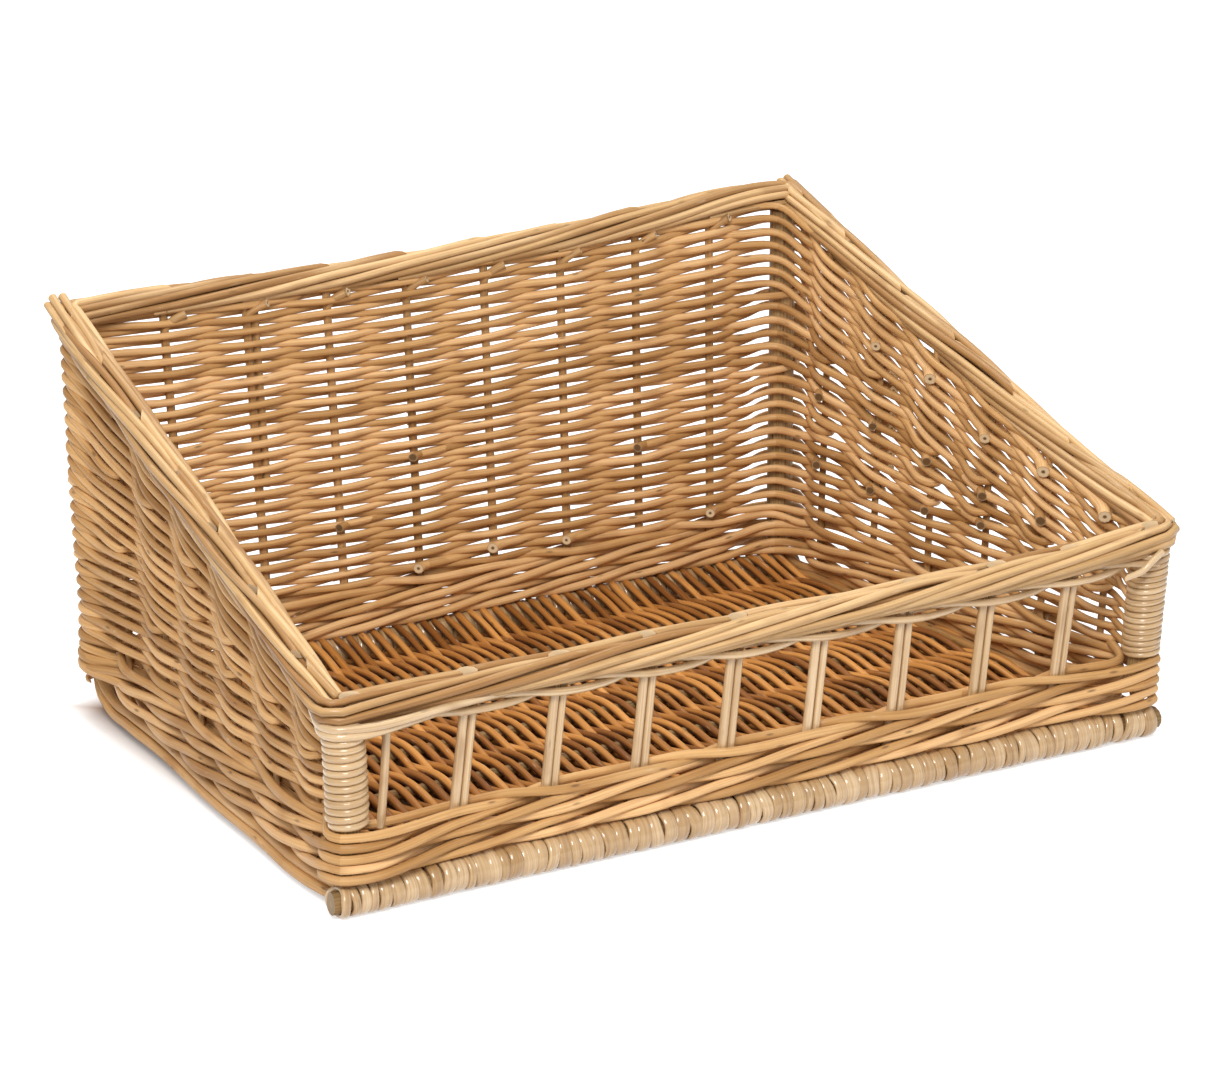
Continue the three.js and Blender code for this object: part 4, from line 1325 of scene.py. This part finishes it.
def evened(values, reach):
    """Values averaged with this many neighbours on each side."""
    count = 2 * reach + 1
    return np.convolve(np.pad(values, reach, mode="edge"), np.ones(count) / count, mode="valid")


class WILLOW_OT_border(bpy.types.Operator):
    """Lays down the rod border round the rim"""

    bl_idname = "willow.border"
    bl_label = "Rod border"

    def execute(self, context):
        rod = context.scene.willow_border.rod / 2
        rim = Rim()
        stops = rim.stops(wale_uprights(context.scene.willow_weave))
        chance = random.Random(61)
        bundles = {wall: Bundle() for wall in WALE_WALLS}
        self.lay_course(bundles, rim, stops, TOP_COURSE, -2.0, rod, chance)
        self.lay_course(bundles, rim, stops, OUTER_COURSE, 0.4, rod, chance)
        for corner, wall, reach, crossings in CORNER_RODS:
            for crossing in crossings:
                self.lay_past(bundles[wall], rim, corner, wall, reach * MM, crossing, rod, chance)
        self.lay_core(bundles, rim, rod, chance)
        for wall, bundle in bundles.items():
            make_piece("rod_border_" + wall, bundle, "border", "border_" + wall)
        return {"FINISHED"}

    def lay_course(self, bundles, rim, stops, course, first_slant, rod, chance):
        """One rod from each upright, which turns slowly inwards over the rods before it."""
        laps = np.concatenate([np.array(stops) + lap * rim.total for lap in range(2)])
        marks = np.array(course)
        steps = int(marks[-1, 0] * COURSE_STEPS)
        along = np.linspace(0, marks[-1, 0], steps)
        for number in range(len(stops)):
            angle = np.radians(np.interp(along, marks[:, 0], marks[:, 1]) + chance.uniform(-5, 5))
            angle += np.radians(5) * np.sin(along * chance.uniform(1.2, 2.4) + any_phase(chance))
            depth = evened(np.interp(along, marks[:, 0], marks[:, 2]), 3)
            depth += 0.07 * np.sin(along * chance.uniform(2.0, 3.6) + any_phase(chance)) - 0.02
            start = number + chance.uniform(-0.08, 0.08)
            reach = np.interp(start + along, np.arange(len(laps)), laps)
            path = rim.place(reach, evened(angle, 4), depth, rod)
            thickness = rod * chance.uniform(0.92, 1.08) * (1 + 0.18 * np.exp(-along / 0.5))
            wall = rim.side_at(float(reach[steps // 2]))
            slants = (first_slant, 1.4)
            lay_rod(bundles[wall], path, thickness, chance, sides=10, slants=slants, cut_look=SLANTED_CUT)

    def lay_core(self, bundles, rim, rod, chance):
        """Two rods in the middle of the border, in lengths that overlap, kept dark as painted shade that
        shows in the gaps between the outer rods.
        """
        lengths = 8
        steps = 70
        for number in range(lengths):
            along = np.linspace(number, number + 1.02, steps) * rim.total / lengths
            wall = rim.side_at(float(along.mean()))
            for angle in (math.pi, 0.0):
                path = rim.place(along, np.full(steps, angle), 0.3)
                # The darkest tone, as painted shade seen between the outer border rods
                lay_rod(bundles[wall], path, rod * 1.1, chance, tone=0.1)

    def lay_past(self, bundle, rim, corner, wall, reach, crossing, rod, chance):
        """A rod along one side of the border that runs straight on past a corner to its cut end."""
        angle, depth, overshoot = math.radians(crossing[0]), crossing[1], crossing[2] * MM
        first, second = {"front": (0, 1), "right": (1, 2), "back": (2, 3), "left": (3, 0)}[wall]
        other = rim.corner_points[first if second == corner else second]
        tip = rim.corner_points[corner]
        run = tip - other
        run /= np.linalg.norm(run)
        out = np.cross(rim.corner_points[second] - rim.corner_points[first], UP)
        out /= np.linalg.norm(out)
        top = np.cross(run, out)
        top *= np.sign(top[2])
        steps = 24
        share = np.linspace(0, 1, steps)
        sink = depth * (0.55 + 0.45 * ease(share * 2.2))
        level = np.cos(angle) * (rim.half_width - rod) * sink
        rise = np.sin(angle) * (rim.half_height - rod) * sink
        along = -reach + share * (reach + overshoot)
        path = tip + run * along[:, None] + out * level[:, None] + top * rise[:, None]
        thickness = rod * np.linspace(0.9, 1.08, steps)
        slants = (0.0, chance.uniform(-0.3, 0.5))
        cut_look = OLD_CUT if corner == BACK_LEFT else FRESH_CUT
        lay_rod(bundle, path, thickness, chance, sides=10, slants=slants, cut_look=cut_look)


# The cut end of a foot stick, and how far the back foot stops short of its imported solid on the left
FOOT_CUT = (0.26, 0.26, 0.28)
BACK_FOOT_INSET = 12 * MM


class WILLOW_OT_feet(bpy.types.Operator):
    """Binds the front and back foot with flat turns, side by side"""

    bl_idname = "willow.feet"
    bl_label = "Bound feet"

    def execute(self, context):
        chance = random.Random(71)
        for side in ("front", "back"):
            low, high = span_of("foot_binding_" + side)
            inset = BACK_FOOT_INSET if side == "back" else 0.0
            low[0] += inset
            middle = np.array((0.0, (low[1] + high[1]) / 2, (low[2] + high[2]) / 2))
            self.lay_stick(side, middle, inset, chance)
            self.bind(side, middle, low, high, context.scene.willow_base.wrap, chance)
        return {"FINISHED"}

    def lay_stick(self, side, middle, inset, chance):
        """The thick stick of a foot."""
        low, high = span_of("foot_stick_" + side)
        places = np.linspace(low[0] + inset, high[0], 60)
        path = middle[None] + RIGHT[None] * places[:, None]
        radius = (high[2] - low[2]) * 0.62
        bundle = Bundle()
        lay_rod(bundle, path, radius, chance, sides=12, tone=0.1, slants=(0.25, -0.2), cut_look=FOOT_CUT)
        make_piece(f"foot_{side}_stick", bundle, "bark", "foot_stick_" + side)

    def bind(self, side, middle, low, high, wrap, chance):
        """The flat turns round a foot stick, each a little uneven."""
        bundle = Bundle()
        outer = (high[2] - low[2]) / 2
        angles = np.linspace(0, 2 * math.pi, 25)
        palest = 1.0 if side == "front" else 0.3
        place = low[0]
        while place < high[0] - 3 * MM:
            width = min(chance.uniform(0.70, 1.45) * wrap, high[0] - place)
            thick = chance.uniform(2.6, 3.6) * MM
            lean = chance.gauss(0, 0.9) * MM
            bend = chance.gauss(0, 0.5) * MM
            phase = any_phase(chance)
            reach = outer - thick / 2 - abs(chance.gauss(0, 0.35)) * MM
            radius = reach + np.sin(angles * 2 + phase) * 0.15 * MM
            shift = lean * np.sin(angles) + bend * np.cos(2 * angles + phase)
            shift += place + width / 2
            path = middle[None] + RIGHT * shift[:, None]
            path = path + BACK * (np.cos(angles) * radius)[:, None] + UP * (np.sin(angles) * radius)[:, None]
            wide = width / 2 * (1 + 0.10 * np.sin(angles + phase) + 0.06 * np.sin(3 * angles + phase))
            lay_band(bundle, path, wide * 1.02, thick / 2, middle, chance.random() * palest, chance)
            place += width * 0.97
        make_piece(f"foot_{side}_wraps", bundle, "straw", "foot_binding_" + side)


def lay_band(bundle, path, half_width, half_thickness, middle, tone, chance):
    """A closed flat turn round a foot stick, with rounded edges."""
    sides = 10
    outward = path - middle[None]
    outward[:, 0] = 0
    outward /= np.linalg.norm(outward, axis=1)[:, None]
    angles = np.arange(sides) * 2 * math.pi / sides
    wide = np.sign(np.cos(angles)) * np.abs(np.cos(angles)) ** 0.8
    thick = np.sign(np.sin(angles)) * np.abs(np.sin(angles)) ** 0.65
    rings = (
        path[:, None]
        + RIGHT[None, None] * (half_width[:, None] * wide[None])[..., None]
        + outward[:, None] * (half_thickness * thick)[None, :, None]
    )
    along = distance_along(path) + chance.random() * GRAIN_RANGE
    places = np.stack([
        np.broadcast_to(along[:, None], rings.shape[:2]),
        half_width[:, None] * wide[None],
        np.broadcast_to(half_thickness * thick[None], rings.shape[:2]),
    ], axis=-1)
    bundle.tube(rings, places, tone, None)


# The tips of the rods along a side of the base, which curl up behind the back post, in millimetres
EDGE_CURL = ((0.5, 9, 5), (-0.5, 15, 13), (-4, 19, 22))


class WILLOW_OT_base(bpy.types.Operator):
    """Weaves the floor over and under its sticks, and lays the rods along its two sides"""

    bl_idname = "willow.base"
    bl_label = "Base"

    def execute(self, context):
        chance = random.Random(81)
        step = context.scene.willow_weave.step
        base = context.scene.willow_base
        sticks = self.lay_sticks(chance)
        self.weave_floor(base, sticks, step, chance)
        for side in ("left", "right"):
            self.lay_edge(side, base.edge / 2, step, chance)
        return {"FINISHED"}

    def lay_sticks(self, chance):
        """The inner sticks from left to right, with the middle and radius of each from front to back."""
        sticks = []
        steps = 50
        for number in range(1, 6):
            node = f"base_stick_{number}"
            low, high = span_of(node)
            middle = (low + high) / 2
            radius = (high[2] - low[2]) / 2
            sticks.append((middle[1], middle[2], radius))
            places = np.linspace(low[0], high[0], steps)
            path = np.stack([places, np.full(steps, middle[1]), np.full(steps, middle[2])], axis=1)
            bundle = Bundle()
            lay_rod(bundle, path, radius * 0.85, chance, tone=0.0)
            make_piece(f"base_{number}_stick", bundle, "bark", node)
        return sorted(sticks)

    def weave_floor(self, base, sticks, step, chance):
        """Strands from front to back, side by side, every other one over the back foot."""
        front_y, front_size = across("foot_binding_front", 1)
        back_y = across("foot_binding_back", 1)[0]
        foot_z = across("foot_binding_front", 2)[0]
        foot_low, foot_high = span_of("foot_binding_back")
        points = points_of("base_weave")
        ends = (points[:, 1].min(), points[:, 1].max())
        halves = [np.abs(points[np.abs(points[:, 1] - y) < 2 * MM, 0]).max() for y in ends]
        reach = front_size / 2 - 3 * MM
        bundle = Bundle()
        for number in range(base.strands):
            share = ((number + 0.5) / base.strands * 2 - 1) * 1.03
            thick = base.strand / 2 * chance.uniform(0.88, 1.06)
            over = 1 if number % 2 else -1
            places = [(front_y + reach * 0.80, foot_z - over * 5.0 * MM)]
            for y, z, radius in sticks:
                places.append((y, z + over * (radius * 0.5 + thick * 0.85)))
                over = -over
            if over > 0:
                places.append((back_y - reach * 0.75, foot_high[2] - 1.5 * MM))
                places.append((back_y + 1 * MM, foot_high[2] - 0.6 * MM))
            else:
                places.append((back_y - reach * 0.80, foot_z - 5.0 * MM))
            controls = []
            for y, z in places:
                x = share * np.interp(y, ends, halves) + chance.gauss(0, 0.4) * MM
                if y > ends[1] - 20 * MM:
                    x = np.clip(x, foot_low[0] + 14 * MM, foot_high[0] - 4 * MM)
                controls.append((x, y, z))
            path, _ = smooth_path(controls, step * 1.2)
            lay_rod(bundle, path, thick, chance, deep=1.08)
        make_piece("floor_weaving", bundle, "base", "base_weave")

    def lay_edge(self, side, rod, step, chance):
        """Three rods in a bundle along one side of the base, with their tips curled up at the back."""
        node = "base_edge_" + side
        points = points_of(node)
        front = points[points[:, 1] < points[:, 1].min() + 3 * MM].mean(axis=0)
        back = points[points[:, 1] > points[:, 1].max() - 3 * MM].mean(axis=0)
        share = np.linspace(-0.01, 1.0, 81)
        line = front + (back - front) * share[:, None]
        outward = RIGHT * (1 if side == "right" else -1)
        curl = np.array(EDGE_CURL) * MM * np.array((outward[0], 1.0, 1.0))
        bundle = Bundle()
        for strand in range(3):
            angle = math.radians(-50 + 120 * strand) + 0.15 * np.sin(share * 7 + strand * 2)
            path = line + outward * (np.cos(angle) * rod * 1.1)[:, None]
            path = path + UP * (np.sin(angle) * rod * 1.1)[:, None]
            path, _ = smooth_path([*path[::8], *(path[-1] + curl)], step)
            thickness = rod * np.linspace(1.0, 0.86, len(path))
            lay_rod(bundle, path, thickness, chance, sides=10, cut_look=OLD_CUT)
        make_piece(f"base_edge_{side}_twist", bundle, "weaver", node)


WHITE = (1.0, 1.0, 1.0)

# Place, size and power in watts of each lamp, which all look at the middle of the basket
LAMPS = {
    "key_lamp": ((-1.2, -1.8, 2.0), 1.1, 54.0),
    "fill_lamp": ((2.0, -1.6, 1.3), 1.8, 4.5),
    "top_lamp": ((0.2, 0.6, 2.4), 1.8, 26.0),
}
LAMP_AIM = (0.0, 0.0, 0.1)

# The white light all round, and how much of the floor's brightness the eye and mirrors see as its own glow
SKY_LIGHT = 0.58
FLOOR_GLOW = 0.60
# Painted shade: the ground under the basket is coloured dark brown, as if in deep shadow, so that the gaps in
# the floor weave look dark
PAINTED_SHADE_UNDER_BASKET = (0.30, 0.16, 0.08)
OPEN_GROUND = (0.80, 0.80, 0.80)


class WILLOW_OT_studio(bpy.types.Operator):
    """Lays the pale floor, hangs the soft lamps and sets up the camera"""

    bl_idname = "willow.studio"
    bl_label = "Studio"

    def execute(self, context):
        scene = context.scene
        scene.view_settings.view_transform = "Standard"
        self.lay_floor(scene)
        self.light_world(scene)
        for name, (place, size, power) in LAMPS.items():
            self.hang_lamp(scene, name, place, size, power)
        self.set_camera(scene, scene.willow_studio)
        return {"FINISHED"}

    def lay_floor(self, scene):
        """A wide pale floor, with painted shade of dark brown and no glow where the basket stands."""
        mesh = bpy.data.meshes.new("floor")
        mesh.from_pydata([(-30, -30, 0), (30, -30, 0), (30, 30, 0), (-30, 30, 0)], [], [(0, 1, 2, 3)])
        floor = bpy.data.objects.new("floor", mesh)
        scene.collection.objects.link(floor)
        material = bpy.data.materials.new("pale_floor")
        shading = Shading(material)
        rays = shading.add("LightPath").outputs
        seen = shading.maths("MAXIMUM", rays["Is Camera Ray"], rays["Is Glossy Ray"])
        seen = shading.maths("MAXIMUM", seen, rays["Is Transmission Ray"])
        open_floor = self.open_floor(shading)
        glow = shading.maths("MULTIPLY", shading.maths("MULTIPLY", seen, FLOOR_GLOW), open_floor)
        # Painted shade of dark brown under the basket, pale grey beside it
        ground = shading.mix("MIX", open_floor, PAINTED_SHADE_UNDER_BASKET, OPEN_GROUND)
        matt = shading.add("BsdfDiffuse", {"Color": ground}).outputs["BSDF"]
        light = shading.add("Emission", {"Color": WHITE, "Strength": glow}).outputs["Emission"]
        both = shading.add("AddShader", {0: matt, 1: light}).outputs[0]
        shading.add("OutputMaterial", {"Surface": both})
        mesh.materials.append(material)

    def open_floor(self, shading):
        """0 under the basket, where the ground has painted shade and no glow, 1 beside it."""
        place = shading.parts(shading.add("NewGeometry").outputs["Position"])
        low, high = (np.array(corner) for corner in model_box)
        high[1] += 30 * MM
        beside = []
        for axis in range(2):
            middle = (low[axis] + high[axis]) / 2
            half = (high[axis] - low[axis]) / 2
            away = shading.maths("ABSOLUTE", shading.maths("SUBTRACT", place[axis], middle))
            inputs = {"Value": away, "From Min": half - 45 * MM, "From Max": half - 15 * MM}
            beside.append(shading.add("MapRange", inputs).outputs["Result"])
        return shading.maths("MAXIMUM", *beside)

    def light_world(self, scene):
        """Even white light from all round, which the camera sees as pure white."""
        scene.world = bpy.data.worlds.new("studio")
        shading = Shading(scene.world)
        light = shading.add("Background", {"Color": WHITE, "Strength": SKY_LIGHT}).outputs["Background"]
        seen = shading.add("Background", {"Color": WHITE, "Strength": 1.0}).outputs["Background"]
        rays = shading.add("LightPath").outputs
        choice = shading.add("MixShader", {"Fac": rays["Is Camera Ray"], 1: light, 2: seen})
        shading.add("OutputWorld", {"Surface": choice.outputs[0]})

    def hang_lamp(self, scene, name, place, size, power):
        """A round soft lamp that looks at the basket."""
        lamp = bpy.data.lights.new(name, "AREA")
        lamp.shape = "DISK"
        lamp.size = size
        lamp.energy = power
        self.hold(scene, name, lamp, np.array(place), np.array(place) - np.array(LAMP_AIM))

    def set_camera(self, scene, studio):
        """The camera of the photograph."""
        back = np.array((
            math.sin(studio.azimuth) * math.cos(studio.elevation),
            -math.cos(studio.azimuth) * math.cos(studio.elevation),
            math.sin(studio.elevation),
        ))
        camera = bpy.data.cameras.new("camera")
        camera.sensor_fit = "HORIZONTAL"
        camera.sensor_width = 36.0
        camera.lens = studio.lens
        camera.clip_end = 200.0
        place = np.array(studio.target) + back * studio.distance
        scene.camera = self.hold(scene, "camera", camera, place, back, studio.roll)

    def hold(self, scene, name, data, place, back, roll=0.0):
        """Sets up a lamp or camera at a place, facing away from back and level but for its roll."""
        back = back / np.linalg.norm(back)
        side = np.cross(UP, back)
        side /= np.linalg.norm(side)
        rise = np.cross(back, side)
        turn, lift = math.cos(roll), math.sin(roll)
        side, rise = turn * side + lift * rise, turn * rise - lift * side
        columns = np.stack([side, rise, back, place], axis=1)
        holder = bpy.data.objects.new(name, data)
        holder.matrix_world = Matrix([*columns.tolist(), (0.0, 0.0, 0.0, 1.0)])
        scene.collection.objects.link(holder)
        return holder


class WILLOW_PT_panel(bpy.types.Panel):
    """Lists the basket's pieces and the sizes that they follow"""

    bl_idname = "WILLOW_PT_panel"
    bl_label = "Willow basket"
    bl_space_type = "VIEW_3D"
    bl_region_type = "UI"
    bl_category = "Basket"

    def draw(self, context):
        for operator in OPERATORS:
            self.layout.operator(operator.bl_idname)
        for name in GROUPS:
            group = getattr(context.scene, name)
            for key in group.__annotations__:
                self.layout.prop(group, key)


GROUPS = {
    "willow_weave": WillowWeave,
    "willow_border": WillowBorder,
    "willow_base": WillowBase,
    "willow_colours": WillowColours,
    "willow_studio": WillowStudio,
}
OPERATORS = (
    WILLOW_OT_studio,
    WILLOW_OT_feet,
    WILLOW_OT_base,
    WILLOW_OT_stakes,
    WILLOW_OT_front_rods,
    WILLOW_OT_wale,
    WILLOW_OT_walls,
    WILLOW_OT_windings,
    WILLOW_OT_fitch,
    WILLOW_OT_border,
)


def register():
    """Adds the settings, the operators and the panel to Blender."""
    for name, group in GROUPS.items():
        bpy.utils.register_class(group)
        setattr(bpy.types.Scene, name, bpy.props.PointerProperty(type=group))
    for operator in OPERATORS:
        bpy.utils.register_class(operator)
    bpy.utils.register_class(WILLOW_PT_panel)


def unregister():
    """Takes them away again."""
    bpy.utils.unregister_class(WILLOW_PT_panel)
    for operator in reversed(OPERATORS):
        bpy.utils.unregister_class(operator)
    for name, group in reversed(GROUPS.items()):
        delattr(bpy.types.Scene, name)
        bpy.utils.unregister_class(group)


def main():
    """Makes the studio and every piece in turn."""
    register()
    for operator in OPERATORS:
        group, name = operator.bl_idname.split(".")
        getattr(getattr(bpy.ops, group), name)()


if __name__ == "__main__":
    main()
